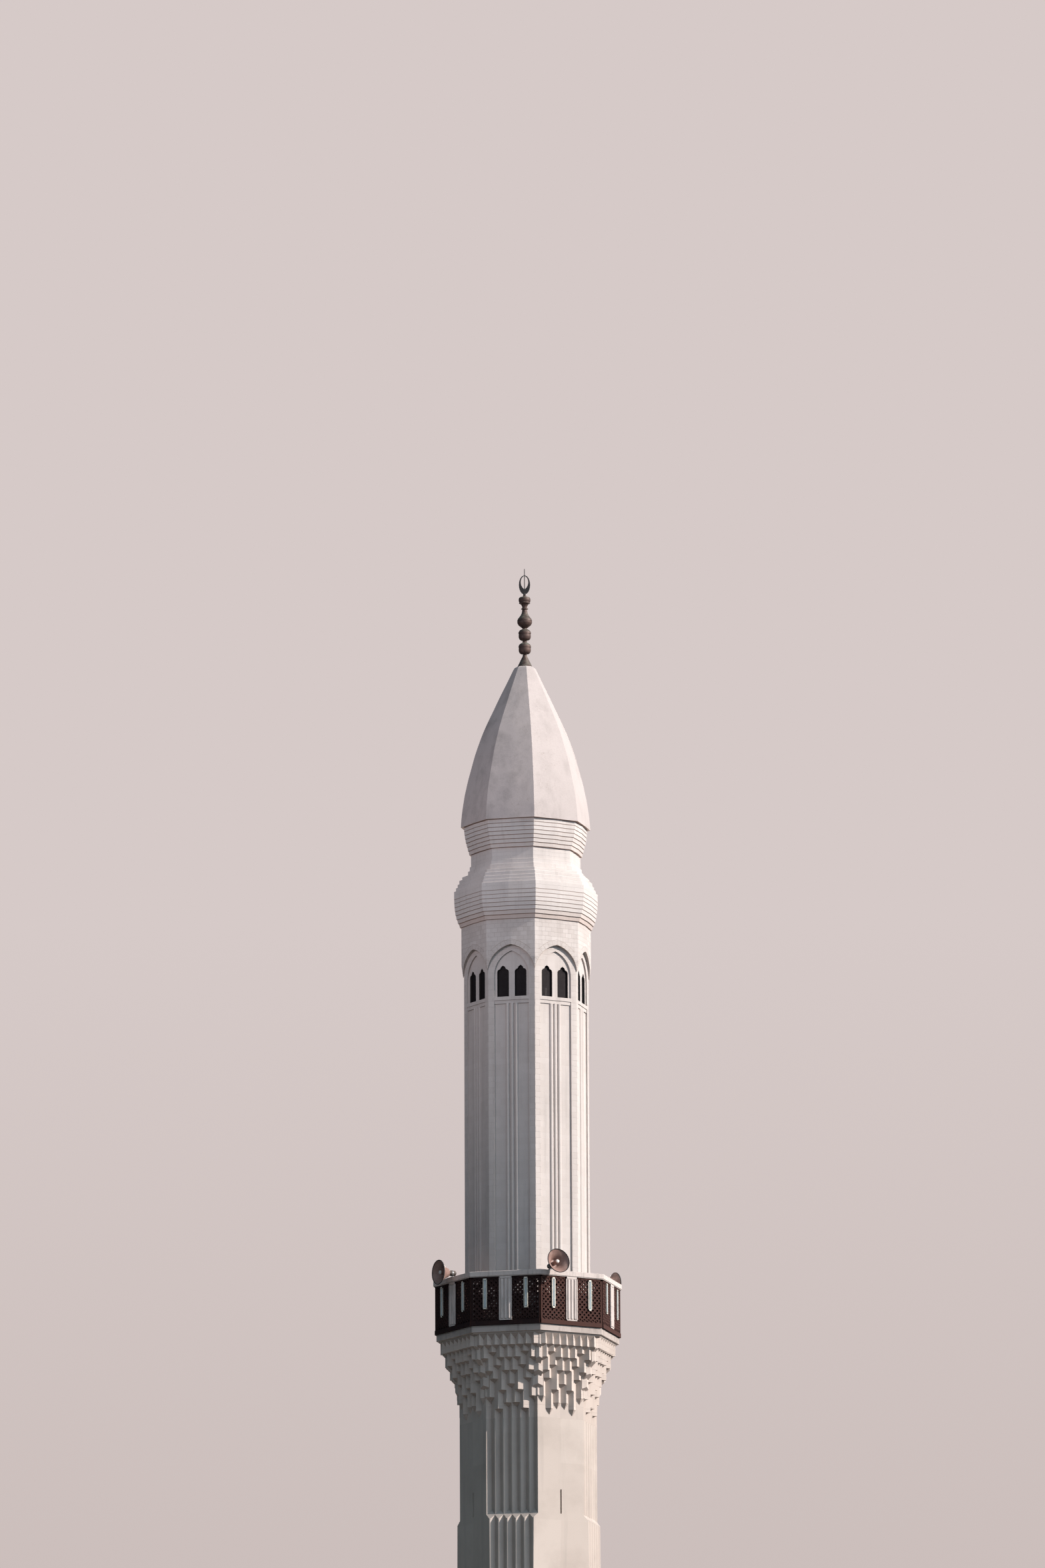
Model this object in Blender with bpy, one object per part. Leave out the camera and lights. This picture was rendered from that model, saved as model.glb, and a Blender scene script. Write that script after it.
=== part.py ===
import math

import bmesh
import bpy
from mathutils import Matrix

# Metres, +Z up, the origin at the middle of the foot. Face 0 looks along -Y, face i is turned 45 degrees further.
GAP = 0.0003
T8 = math.tan(math.pi / 8)
OCT = math.pi / 8

# Lower shaft: a square of side 2 * HALF whose corners step back on a grid.
HALF = 1.40
STEPS = 6
PLAIN = HALF * T8
GRID = (HALF - PLAIN) / STEPS
INNER = 1.15
STAGES = [(5, 15.27), (4, 12.75), (3, 10.25), (2, 7.75), (1, 5.25), (0, 2.75)]
STAGE_SLOPE = 0.83
PLINTH_HALF = 1.55
PLINTH_TOP = 0.15
DOOR_HALF = 0.40
DOOR_TOP = 2.20
DOOR_WALL_TOP = 2.75
SLIT_WIDTH = 0.035
SLIT_TALL = 0.53
SHAFT_TOP = 17.38

# Corbelled tiers below the gallery: ridge lines P(k, c) with a pitch that shrinks upwards.
TIER_DEPTH = 0.084
PITCH = GRID * math.sqrt(2)
PITCH_LOSS = 0.0036
TIERS = {
    1: {0.5: 17.71, 1.5: 17.58, 2.5: 17.84},
    2: {0.0: 18.11, 1.0: 17.98, 2.0: 18.23},
    3: {0.5: 18.40, 1.5: 18.51, 2.5: 18.39},
    4: {0.0: 18.675, 1.0: 18.675, 2.0: 18.79, 3.0: 18.66},
    5: {0.5: 18.937, 1.5: 18.937, 2.5: 18.937, 3.5: 18.937},
}
# Apothem, foot and width along each side of the blocks that stand on the eight corners.
CORNERS = [(1.425, 17.86, 0.085), (1.49, 18.10, 0.125), (1.58, 18.385, 0.105), (1.69, 18.655, 0.075),
           (1.752, 18.93, 0.05)]
CORNER_SLOPE = 1.0
CORNER_DEPTH = 0.42
CAP_Z = 19.185
CAP_LIP = 0.0015
CAP_DROP = 0.20
CAP_CORNER = (0.14, 0.20)
SOFFIT_DROP = 0.13
TIP_DROP = 0.15
LAP = 0.0015
TAIL = 0.05
SUNK = 0.004
BACKING = (0.12, 0.20)
BACKING_HALF = 0.5
# The joined blocks end at slightly different heights inside the cap, so that no two tops lie in one plane.
CORE_TOP = 0.024
BLOCK_TOP = (0.0235, 0.0007)
TEETH = (0.0195, 0.004, 0.0007)
CELL_TOP = (0.003, 0.0005)

# Gallery.
SLAB_Z = (19.21, 19.33)
SLAB_APOTHEM = 1.868
SLAB_HOLE = 0.95
SCREEN = (1.856, 1.896)
SCREEN_TOP = 20.42
SCREEN_RAIL = 0.12
HOLE_ROWS = 6
HOLE_FIRST = (0.265, 19.56)
HOLE_PITCH = (0.19, 0.15)
LAMP_HALF = 0.045
LAMP_Y = (1.875, 1.925)
LAMP_Z = (19.71, 20.38)
POST_RIB = (0.09, 0.038, 0.019)
COPING = (1.83, 1.93)
COPING_TOP = 20.54
POST_HALF = 0.135
POST_OUT = 1.910
HOLE_R = 0.052
LAMP_X = 0.46

# Upper shaft.
UP_INNER = 1.04
UP_OUTER = 1.28
UP_RECESS = 1.245
HOOD = 1.33
UP_Z = 19.33
DRUM_TOP = 28.44
HOOD_FOOT = 27.19
HOOD_APEX = 27.87
RECESS_HALF = 0.392
RECESS_SPRING = 27.20
RECESS_APEX = 27.74
SILL = (26.58, 26.67)
RIB_R = 0.041
RIB_OUT = 0.034
RIB_PITCH = 0.1
WINDOW_X = 0.183
WINDOW_Z = 26.70
WINDOW_HALF = 0.13

BULGE = [
    (28.44, 1.36), (28.53, 1.40), (28.62, 1.43), (28.71, 1.45), (28.80, 1.464), (28.89, 1.472),
    (28.98, 1.476), (29.07, 1.479), (29.25, 1.44), (29.33, 1.405), (29.41, 1.37), (29.50, 1.31),
    (29.58, 1.19), (29.71, 1.155), (29.81, 1.128),
]
NECK_TOP = 30.08
CORBEL = [1.163, 1.189, 1.210, 1.233, 1.249, 1.260, 1.269]
EAVE = 30.70
SHELL = 0.12
DOME = [
    (30.70, 1.444), (30.88, 1.432), (31.06, 1.412), (31.24, 1.386), (31.42, 1.357), (31.60, 1.318),
    (31.78, 1.275), (31.96, 1.225), (32.14, 1.177), (32.32, 1.126), (32.50, 1.067), (32.68, 1.004),
    (32.86, 0.934), (33.04, 0.855), (33.22, 0.771), (33.40, 0.687), (33.58, 0.603), (33.76, 0.516),
    (33.94, 0.427), (34.12, 0.340), (34.22, 0.286), (34.30, 0.233), (34.36, 0.182),
]
CREASE = 0.955
LOW_CREASE = 0.945
HOOD_MID = 1.36

# Side, place along it, height and upward tilt in degrees of each horn.
HORNS = [(0, -0.53, 20.65, 11), (2, 0.0, 20.62, 0), (4, 0.0, 20.62, 0), (6, 0.0, 20.62, 0)]
HORN_R = 2.008

for old in list(bpy.data.objects):
    bpy.data.objects.remove(old, do_unlink=True)

home = bpy.data.collections.new("minaret")
helpers = bpy.data.collections.new("minaret_cutters")
bpy.context.scene.collection.children.link(home)
bpy.context.scene.collection.children.link(helpers)


def material(name, colour, rough, metal=0.0):
    made = bpy.data.materials.new(name)
    made.use_nodes = True
    shader = made.node_tree.nodes["Principled BSDF"]
    shader.inputs["Base Color"].default_value = (*colour, 1.0)
    shader.inputs["Roughness"].default_value = rough
    shader.inputs["Metallic"].default_value = metal
    return made


STONE = material("pale_limestone", (0.62, 0.56, 0.50), 0.85)
PLASTER = material("white_plaster", (0.74, 0.71, 0.67), 0.8)
TIMBER = material("dark_screen", (0.035, 0.022, 0.018), 0.6)
BRONZE = material("dark_bronze", (0.10, 0.055, 0.035), 0.45, 1.0)
PAINT = material("horn_paint", (0.33, 0.24, 0.21), 0.5)


def add_object(name, shape, look=None, turn=0.0, helper=False):
    bmesh.ops.recalc_face_normals(shape, faces=shape.faces)
    mesh = bpy.data.meshes.new(name)
    shape.to_mesh(mesh)
    shape.free()
    if turn:
        mesh.transform(Matrix.Rotation(turn, 4, "Z"))
    made = bpy.data.objects.new(name, mesh)
    if helper:
        helpers.objects.link(made)
        made.hide_render = True
        made.display_type = "WIRE"
    else:
        home.objects.link(made)
    if look:
        mesh.materials.append(look)
    return made


def extrude(shape, points, z0, z1):
    """Extrudes a plan polygon and returns the bottom and top vertices."""
    low = [shape.verts.new((x, y, z0)) for x, y in points]
    face = shape.faces.new(low)
    grown = bmesh.ops.extrude_face_region(shape, geom=[face])["geom"]
    high = [item for item in grown if isinstance(item, bmesh.types.BMVert)]
    bmesh.ops.translate(shape, verts=high, vec=(0, 0, z1 - z0))
    return low, high


def elevation(shape, points, y0, y1):
    """Extrudes an outline drawn in XZ along Y."""
    low = [shape.verts.new((x, y0, z)) for x, z in points]
    face = shape.faces.new(low)
    grown = bmesh.ops.extrude_face_region(shape, geom=[face])["geom"]
    far = [item for item in grown if isinstance(item, bmesh.types.BMVert)]
    bmesh.ops.translate(shape, verts=far, vec=(0, y1 - y0, 0))


def box(shape, x0, x1, y0, y1, z0, z1):
    extrude(shape, [(x0, y0), (x1, y0), (x1, y1), (x0, y1)], z0, z1)


def revolve(shape, profile, steps, closed=True):
    """Turns a profile of (radius, height) round Z; an open one starts and ends on the axis."""
    phase = OCT if steps == 8 else 0.0
    verts = [shape.verts.new((r * math.cos(phase), r * math.sin(phase), z)) for r, z in profile]
    pairs = list(zip(verts, verts[1:])) + ([(verts[-1], verts[0])] if closed else [])
    edges = [shape.edges.new(pair) for pair in pairs]
    bmesh.ops.spin(shape, geom=verts + edges, cent=(0, 0, 0), axis=(0, 0, 1), dvec=(0, 0, 0),
                   angle=2 * math.pi, steps=steps, use_merge=True)
    bmesh.ops.remove_doubles(shape, verts=shape.verts, dist=1e-5)


def crease(shape, factor):
    """Draws in the columns that stand midway between the corners of a 16-step turning."""
    for vert in shape.verts:
        angle = math.degrees(math.atan2(vert.co.y, vert.co.x)) % 45
        if min(angle, 45 - angle) < 20:
            vert.co.x *= factor
            vert.co.y *= factor


def corner(apothem):
    return apothem / math.cos(OCT)


def oct_ring(shape, inner, outer, z0, z1):
    revolve(shape, [(corner(inner), z0), (corner(outer), z0), (corner(outer), z1), (corner(inner), z1)], 8)


def combine(target, other, operation, self_cut=False):
    step = target.modifiers.new(operation.lower(), "BOOLEAN")
    step.operation = operation
    step.solver = "EXACT"
    step.object = other
    step.use_self = self_cut


def bake(target):
    bpy.context.view_layer.update()
    graph = bpy.context.evaluated_depsgraph_get()
    mesh = bpy.data.meshes.new_from_object(target.evaluated_get(graph))
    target.modifiers.clear()
    target.data = mesh


def weld(target):
    shape = bmesh.new()
    shape.from_mesh(target.data)
    bmesh.ops.triangulate(shape, faces=shape.faces)
    bmesh.ops.remove_doubles(shape, verts=shape.verts, dist=0.0001)
    bmesh.ops.dissolve_degenerate(shape, edges=shape.edges, dist=0.00005)
    shape.to_mesh(target.data)
    shape.free()


def repeat(first, names, turns):
    """Gives one finished piece its turned copies; the first keeps its place."""
    for name, turn in zip(names, turns):
        mesh = first.data.copy()
        mesh.transform(Matrix.Rotation(turn, 4, "Z"))
        home.objects.link(bpy.data.objects.new(name, mesh))


# Plinth.
shape = bmesh.new()
box(shape, -PLINTH_HALF, PLINTH_HALF, -PLINTH_HALF, PLINTH_HALF, 0.0, PLINTH_TOP)
add_object("plinth", shape, STONE)

# Plain walls, one a side, each with a slit over every set-off.
INNER_SIDE = INNER * math.sqrt(2) - PLAIN
WALL_PLAN = [(-PLAIN, -HALF), (PLAIN, -HALF), (PLAIN, -INNER_SIDE), (INNER * T8, -INNER), (-INNER * T8, -INNER),
             (-PLAIN, -INNER_SIDE)]
slits = bmesh.new()
for _, set_off in STAGES[:5]:
    box(slits, -SLIT_WIDTH / 2, SLIT_WIDTH / 2, -HALF - 0.1, -INNER + 0.1, set_off + 0.02, set_off + 0.02 + SLIT_TALL)
slit_cutter = add_object("slit_cutter", slits, helper=True)
shape = bmesh.new()
extrude(shape, WALL_PLAN, PLINTH_TOP + GAP, SHAFT_TOP - GAP)
wall = add_object("right_wall", shape, STONE)
combine(wall, slit_cutter, "DIFFERENCE")
bake(wall)
repeat(wall, ["back_wall", "left_wall"], [math.pi / 2, math.pi])
shape = bmesh.new()
extrude(shape, WALL_PLAN, DOOR_WALL_TOP + GAP, SHAFT_TOP - GAP)
front = add_object("front_wall", shape, STONE)
combine(front, slit_cutter, "DIFFERENCE")
bake(front)
for name in ("right_wall", "back_wall", "left_wall"):
    bpy.data.objects[name].data.transform(Matrix.Rotation(math.pi / 2, 4, "Z"))

shape = bmesh.new()
extrude(shape, WALL_PLAN, PLINTH_TOP + GAP, DOOR_WALL_TOP - GAP)
door_wall = add_object("doorway_wall", shape, STONE)
hole = bmesh.new()
box(hole, -DOOR_HALF, DOOR_HALF, -HALF - 0.1, -INNER + 0.2, 0.0, DOOR_TOP)
combine(door_wall, add_object("door_cutter", hole, helper=True), "DIFFERENCE")
bake(door_wall)


# Corner piers with stepped ribs.
side = PLAIN + GAP
shape = bmesh.new()
outline = [(HALF - GRID, side)]
for k in range(1, STEPS):
    outline.append((HALF - k * GRID, PLAIN + k * GRID))
    outline.append((HALF - (k + 1) * GRID, PLAIN + k * GRID) if k < STEPS - 1 else (side, HALF - GRID))
outline += [(side, INNER_SIDE), (INNER_SIDE, side)]
extrude(shape, outline, PLINTH_TOP + GAP, SHAFT_TOP - GAP)
pier = add_object("pier_1", shape, STONE)
for steps, set_off in STAGES:
    edge = HALF - steps * GRID
    back = HALF - GRID - 0.03
    outline = [(HALF, side)]
    for k in range(steps + 1):
        outline.append((HALF - k * GRID, edge + k * GRID))
        if k < steps:
            outline.append((HALF - (k + 1) * GRID, edge + k * GRID))
    outline += [(side, HALF), (side, back), (back, side)]
    shape = bmesh.new()
    extrude(shape, outline, PLINTH_TOP + GAP, set_off)
    for vert in shape.verts:
        if vert.co.z > PLINTH_TOP + 0.01:
            vert.co.z = set_off + STAGE_SLOPE * (HALF + edge - GRID - vert.co.x - vert.co.y)
    bmesh.ops.triangulate(shape, faces=shape.faces)
    combine(pier, add_object(f"stage_{steps}", shape, helper=True), "UNION")
bake(pier)
repeat(pier, ["pier_2", "pier_3", "pier_4"], [math.pi / 2, math.pi, 3 * math.pi / 2])


# Corbelled tiers.
def lattice_point(k, c):
    pitch = PITCH - PITCH_LOSS * max(k, 0)
    return c * pitch, -(HALF + k * TIER_DEPTH)


core = bmesh.new()
outline = []
for j in range(4):
    quarter = [(PLAIN, -HALF)]
    for k in range(STEPS):
        quarter.append((PLAIN + k * GRID, -(HALF - (k + 1) * GRID)))
        quarter.append((PLAIN + (k + 1) * GRID, -(HALF - (k + 1) * GRID)))
    quarter.pop()
    for x, y in quarter:
        outline.append((x * math.cos(j * math.pi / 2) - y * math.sin(j * math.pi / 2),
                        x * math.sin(j * math.pi / 2) + y * math.cos(j * math.pi / 2)))
    x, y = HALF, -PLAIN
    outline.append((x * math.cos(j * math.pi / 2) - y * math.sin(j * math.pi / 2),
                    x * math.sin(j * math.pi / 2) + y * math.cos(j * math.pi / 2)))
extrude(core, outline, SHAFT_TOP, CAP_Z + CORE_TOP)
muqarnas = add_object("corbel_tiers", core, STONE)


def tier_cell(k, c, z, top, tipped):
    """One square prism of a tier; its underside dips into the valley behind, or ends in a point."""
    cell = bmesh.new()
    n, f = lattice_point(k, c), lattice_point(k - 2, c)
    r, l = lattice_point(k - 1, c + 0.5), lattice_point(k - 1, c - 0.5)
    sunk = SUNK if k == 1 else 0.0
    plan = [n, (r[0] + LAP, r[1] + sunk), (f[0], f[1] + TAIL), (l[0] - LAP, l[1] + sunk)]
    low, _ = extrude(cell, plan, z, top)
    bottom = next(face for face in cell.faces if all(vert in low for vert in face.verts))
    if tipped:
        tip = bmesh.ops.poke(cell, faces=[bottom])["verts"][0]
        tip.co = (n[0], -HALF + SUNK, z - TIP_DROP)
    else:
        bmesh.ops.connect_verts(cell, verts=[low[1], low[3]])
        low[2].co.z -= SOFFIT_DROP
    return cell


def cap_teeth():
    """The soffits that run down from the cap into the valleys of the top tier, as one strip."""
    strip = bmesh.new()
    front = [lattice_point(5, c + 0.5) for c in range(-4, 4)]
    back = [lattice_point(4, c) for c in range(-3, 4)]
    top, foot, inset = TEETH
    low = [[strip.verts.new((x, y + inset, CAP_Z - foot)) for x, y in front],
           [strip.verts.new((x, y + TAIL, CAP_Z - foot - CAP_DROP)) for x, y in back]]
    high = [[strip.verts.new((vert.co.x, vert.co.y, CAP_Z + top)) for vert in row] for row in low]
    for (near, far), flip in ((low, False), (high, True)):
        for i in range(len(far)):
            faces = [(near[i], near[i + 1], far[i])] + ([(near[i], far[i], far[i - 1])] if i else [])
            for face in faces:
                strip.faces.new(face[::-1] if flip else face)
    ring = [low[0] + low[1][::-1], high[0] + high[1][::-1]]
    for i in range(len(ring[0])):
        strip.faces.new((ring[0][i - 1], ring[0][i], ring[1][i], ring[1][i - 1]))
    return strip


def tier_face(name, tipped):
    """The cells of one side joined into one solid over a backing block."""
    shape = bmesh.new()
    front, back = -HALF + BACKING[0], -HALF + BACKING[1]
    extrude(shape, [(-BACKING_HALF, front), (BACKING_HALF, front), (BACKING_HALF, back), (-BACKING_HALF, back)],
            SHAFT_TOP + 0.1, CAP_Z + LAP)
    joined = add_object(name, shape, helper=True)
    cells = [(k, at, z) for k, row in TIERS.items() for c, z in row.items() for at in ((c, -c) if c else (c,))]
    for count, (k, at, z) in enumerate(cells):
        shape = tier_cell(k, at, z, CAP_Z + CELL_TOP[0] + CELL_TOP[1] * count, tipped and k == 1)
        combine(joined, add_object(f"{name}_{k}_{at}", shape, helper=True), "UNION")
    combine(joined, add_object(f"{name}_teeth", cap_teeth(), helper=True), "UNION")
    bake(joined)
    return joined


faces = [tier_face("plain_tiers", True), tier_face("ribbed_tiers", False)]
blocks = []
cap_corner = (HALF + 5 * TIER_DEPTH - CAP_LIP, CAP_Z - 2 * CAP_LIP, CAP_CORNER[0])
for number, (apothem, z, wide) in enumerate(CORNERS + [cap_corner]):
    top_block = number == len(CORNERS)
    depth = CAP_CORNER[1] if top_block else CORNER_DEPTH
    for i in range(8):
        at = OCT + i * math.pi / 4
        reach = corner(apothem)
        plan = [(reach, 0.0), (reach - wide * math.sin(OCT), wide * math.cos(OCT)), (reach - depth, 0.0),
                (reach - wide * math.sin(OCT), -wide * math.cos(OCT))]
        shape = bmesh.new()
        low, _ = extrude(shape, plan, z, CAP_Z + BLOCK_TOP[0] - BLOCK_TOP[1] * number)
        if top_block:
            bmesh.ops.connect_verts(shape, verts=[low[1], low[3]])
            low[2].co.z -= CAP_DROP
        else:
            for vert in low:
                vert.co.z -= CORNER_SLOPE * (reach - vert.co.x)
        bmesh.ops.rotate(shape, verts=shape.verts, cent=(0, 0, 0), matrix=Matrix.Rotation(at, 3, "Z"))
        bmesh.ops.triangulate(shape, faces=shape.faces)
        blocks.append(add_object(f"corner_block_{number}_{i}", shape, helper=True))
cap = bmesh.new()
oct_ring(cap, INNER + 0.01, HALF + 5 * TIER_DEPTH + CAP_LIP, CAP_Z, SLAB_Z[0] - GAP)
hollow = bmesh.new()
revolve(hollow, [(0, SHAFT_TOP - 1), (corner(INNER), SHAFT_TOP - 1), (corner(INNER), 20), (0, 20)], 8, False)
for i in range(8):
    copy = bpy.data.objects.new(f"tiers_{i}", faces[i % 2].data.copy())
    copy.data.transform(Matrix.Rotation(i * math.pi / 4, 4, "Z"))
    copy.hide_render = True
    copy.display_type = "WIRE"
    helpers.objects.link(copy)
    combine(muqarnas, copy, "UNION")
for block in blocks:
    combine(muqarnas, block, "UNION")
combine(muqarnas, add_object("tier_cap", cap, helper=True), "UNION")
combine(muqarnas, add_object("tier_hollow", hollow, helper=True), "DIFFERENCE")
bake(muqarnas)
weld(muqarnas)

# Gallery slab.
shape = bmesh.new()
oct_ring(shape, SLAB_HOLE, SLAB_APOTHEM, SLAB_Z[0], SLAB_Z[1] - GAP)
add_object("gallery_slab", shape, PLASTER)


def face_plan(outer, inner):
    wide, narrow = outer * T8 - GAP / 2, inner * T8 - GAP / 2
    return [(-wide, -outer), (wide, -outer), (narrow, -inner), (-narrow, -inner)]


# Screens: a pierced panel a side with its bottom rail and two lamp battens.
shape = bmesh.new()
extrude(shape, face_plan(SCREEN[1], SCREEN[0]), SLAB_Z[1], SCREEN_TOP - GAP)
screen = add_object("screen_1", shape, TIMBER)
holes = bmesh.new()
for sign in (-1, 1):
    for row in range(HOLE_ROWS):
        for column in range(3 if row % 2 == 0 else 2):
            x = sign * (HOLE_FIRST[0] + HOLE_PITCH[0] * (column + (0.0 if row % 2 == 0 else 0.5)))
            if abs(abs(x) - LAMP_X) < LAMP_HALF:
                continue
            z = HOLE_FIRST[1] + row * HOLE_PITCH[1]
            ring = [(x + HOLE_R * math.cos(t * math.pi / 3), z + HOLE_R * math.sin(t * math.pi / 3)) for t in range(6)]
            elevation(holes, ring, -SCREEN[1] - 0.05, -SCREEN[0] + 0.05)
combine(screen, add_object("screen_holes", holes, helper=True), "DIFFERENCE")
extra = bmesh.new()
box(extra, -SCREEN[0] * T8 + 0.01, SCREEN[0] * T8 - 0.01, -SCREEN[1] - 0.014, -SCREEN[0] - 0.01,
    SLAB_Z[1] + 0.002, SLAB_Z[1] + SCREEN_RAIL)
for sign in (-1, 1):
    box(extra, sign * LAMP_X - LAMP_HALF, sign * LAMP_X + LAMP_HALF, -LAMP_Y[1], -LAMP_Y[0], *LAMP_Z)
combine(screen, add_object("screen_rail", extra, helper=True), "UNION")
bake(screen)
repeat(screen, [f"screen_{i + 1}" for i in range(1, 8)], [i * math.pi / 4 for i in range(1, 8)])

# Coping with the ribbed posts below it.
shape = bmesh.new()
oct_ring(shape, COPING[0], COPING[1], SCREEN_TOP, COPING_TOP)
frame = add_object("parapet_frame", shape, PLASTER)
posts = bmesh.new()
for i in range(8):
    one = bmesh.new()
    outline = [(-POST_HALF, -SCREEN[1] - GAP), (-POST_HALF, -POST_OUT)]
    for rib in (-1, 0, 1):
        for t in range(5):
            angle = math.pi * t / 4
            outline.append((rib * POST_RIB[0] - POST_RIB[1] * math.cos(angle),
                            -POST_OUT - POST_RIB[2] * math.sin(angle)))
    outline += [(POST_HALF, -POST_OUT), (POST_HALF, -SCREEN[1] - GAP)]
    extrude(one, outline, SLAB_Z[1] + SCREEN_RAIL + 0.012, SCREEN_TOP + 0.05)
    bmesh.ops.rotate(one, verts=one.verts, cent=(0, 0, 0), matrix=Matrix.Rotation(i * math.pi / 4, 3, "Z"))
    part = bpy.data.meshes.new("post")
    one.to_mesh(part)
    posts.from_mesh(part)
    one.free()
combine(frame, add_object("posts", posts, helper=True), "UNION")
bake(frame)


# Upper shaft: eight walls with recessed panels, twin windows and a proud pointed hood.
def pointed(half, foot, apex, count):
    """Points of a pointed arch from the left foot over the apex to the right foot."""
    rise = apex - foot
    radius = (half * half + rise * rise) / (2 * half)
    last = math.asin(rise / radius)
    left = [(-half + radius - radius * math.cos(last * t / count), foot + radius * math.sin(last * t / count))
            for t in range(count + 1)]
    return left + [(-x, z) for x, z in reversed(left[:-1])]


shape = bmesh.new()
extrude(shape, face_plan(UP_OUTER, UP_INNER), UP_Z, DRUM_TOP - GAP)
drum = add_object("upper_wall_1", shape, STONE)
hood = bmesh.new()
wide = HOOD * T8 + 0.02
arch = pointed(HOOD * T8 - 0.004, HOOD_FOOT, HOOD_APEX, 6)
outline = [(-wide, DRUM_TOP - 0.002), (-wide, HOOD_FOOT - 0.02)] + arch
outline += [(wide, HOOD_FOOT - 0.02), (wide, DRUM_TOP - 0.002), (0.0, DRUM_TOP - 0.002)]
elevation(hood, outline, -HOOD, -UP_OUTER + 0.02)
for vert in hood.verts:
    if vert.co.y < -HOOD + 0.001:
        vert.co.y -= (HOOD_MID - HOOD) * (1 - abs(vert.co.x) / wide)
front = next(face for face in hood.faces if all(vert.co.y < -HOOD + 0.001 for vert in face.verts))
middle = [vert for vert in front.verts if abs(vert.co.x) < 1e-6]
bmesh.ops.connect_verts(hood, verts=middle)
hood = add_object("hood", hood, helper=True)
wedge = bmesh.new()
extrude(wedge, [(x - math.copysign(0.001, x), y) for x, y in face_plan(HOOD_MID + 0.1, UP_INNER - 0.1)],
        UP_Z, DRUM_TOP + 0.2)
combine(hood, add_object("wedge", wedge, helper=True), "INTERSECT")
bake(hood)
recess = bmesh.new()
outline = [(-RECESS_HALF, UP_Z + 0.10)] + pointed(RECESS_HALF, RECESS_SPRING, RECESS_APEX, 6)
outline += [(RECESS_HALF, UP_Z + 0.10)]
elevation(recess, outline, -UP_OUTER - 0.02, -UP_RECESS)
windows = bmesh.new()
head = [(WINDOW_HALF, 0.0), (WINDOW_HALF, 0.57), (0.122, 0.595), (0.10, 0.612), (0.064, 0.622), (0.056, 0.645),
        (0.036, 0.672), (0.0, 0.69)]
for sign in (-1, 1):
    right = [(sign * WINDOW_X + x, WINDOW_Z + z) for x, z in head]
    left = [(sign * WINDOW_X - x, WINDOW_Z + z) for x, z in reversed(head[:-1])]
    elevation(windows, right + left, -HOOD - 0.1, -UP_INNER + 0.1)
trim = bmesh.new()
box(trim, -RECESS_HALF - 0.002, RECESS_HALF + 0.002, -UP_RECESS - 0.024, -UP_RECESS + 0.02, *SILL)
ribs = bmesh.new()
for rib in (-1, 0, 1):
    ring = [(rib * RIB_PITCH + RIB_R * math.cos(t * math.pi / 5), -UP_RECESS - RIB_OUT * math.sin(t * math.pi / 5))
            for t in range(6)]
    ring = [ring[0][:1] + (-UP_RECESS + 0.02,)] + ring + [ring[5][:1] + (-UP_RECESS + 0.02,)]
    extrude(ribs, ring, UP_Z + 0.08, SILL[0] + 0.01)
combine(drum, add_object("recess", recess, helper=True), "DIFFERENCE")
combine(drum, hood, "UNION")
combine(drum, add_object("sill", trim, helper=True), "UNION")
combine(drum, add_object("ribs", ribs, helper=True), "UNION")
combine(drum, add_object("windows", windows, helper=True), "DIFFERENCE")
bake(drum)
repeat(drum, [f"upper_wall_{i + 1}" for i in range(1, 8)], [i * math.pi / 4 for i in range(1, 8)])

# Bulge and neck.
shape = bmesh.new()
profile = [(corner(UP_INNER), DRUM_TOP)]
for z, apothem in BULGE:
    profile.append((corner(apothem), z))
    above = [other for other in BULGE if other[0] > z]
    profile.append((corner(apothem), above[0][0] if above else NECK_TOP - GAP))
profile.append((corner(0.95), NECK_TOP - GAP))
profile.append((corner(0.95), 29.30))
revolve(shape, profile, 16)
crease(shape, LOW_CREASE)
add_object("bulge_moulding", shape, STONE)

# Corbel courses under the dome.
shape = bmesh.new()
course = (EAVE - NECK_TOP) / len(CORBEL)
profile = [(corner(0.95), NECK_TOP)]
for k, apothem in enumerate(CORBEL):
    profile.append((corner(apothem), NECK_TOP + k * course))
    profile.append((corner(apothem), NECK_TOP + (k + 1) * course - (GAP if k == len(CORBEL) - 1 else 0)))
profile.append((corner(0.95), EAVE - GAP))
revolve(shape, profile, 16)
crease(shape, CREASE)
add_object("dome_cornice", shape, STONE)

# Dome: an eight-sided shell with a light crease down the middle of each side.
shape = bmesh.new()
outer = [(r, z) for z, r in DOME]
inner = [(r - SHELL, z - 0.4 * SHELL) for z, r in DOME if r > 0.30][1:]
inner = [(DOME[0][1] - SHELL, EAVE)] + inner + [(0.0, inner[-1][1] + 0.05)]
profile = [(0.0, DOME[-1][0])] + outer[::-1] + inner
revolve(shape, profile, 16, False)
crease(shape, CREASE)
add_object("dome", shape, PLASTER)

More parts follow.
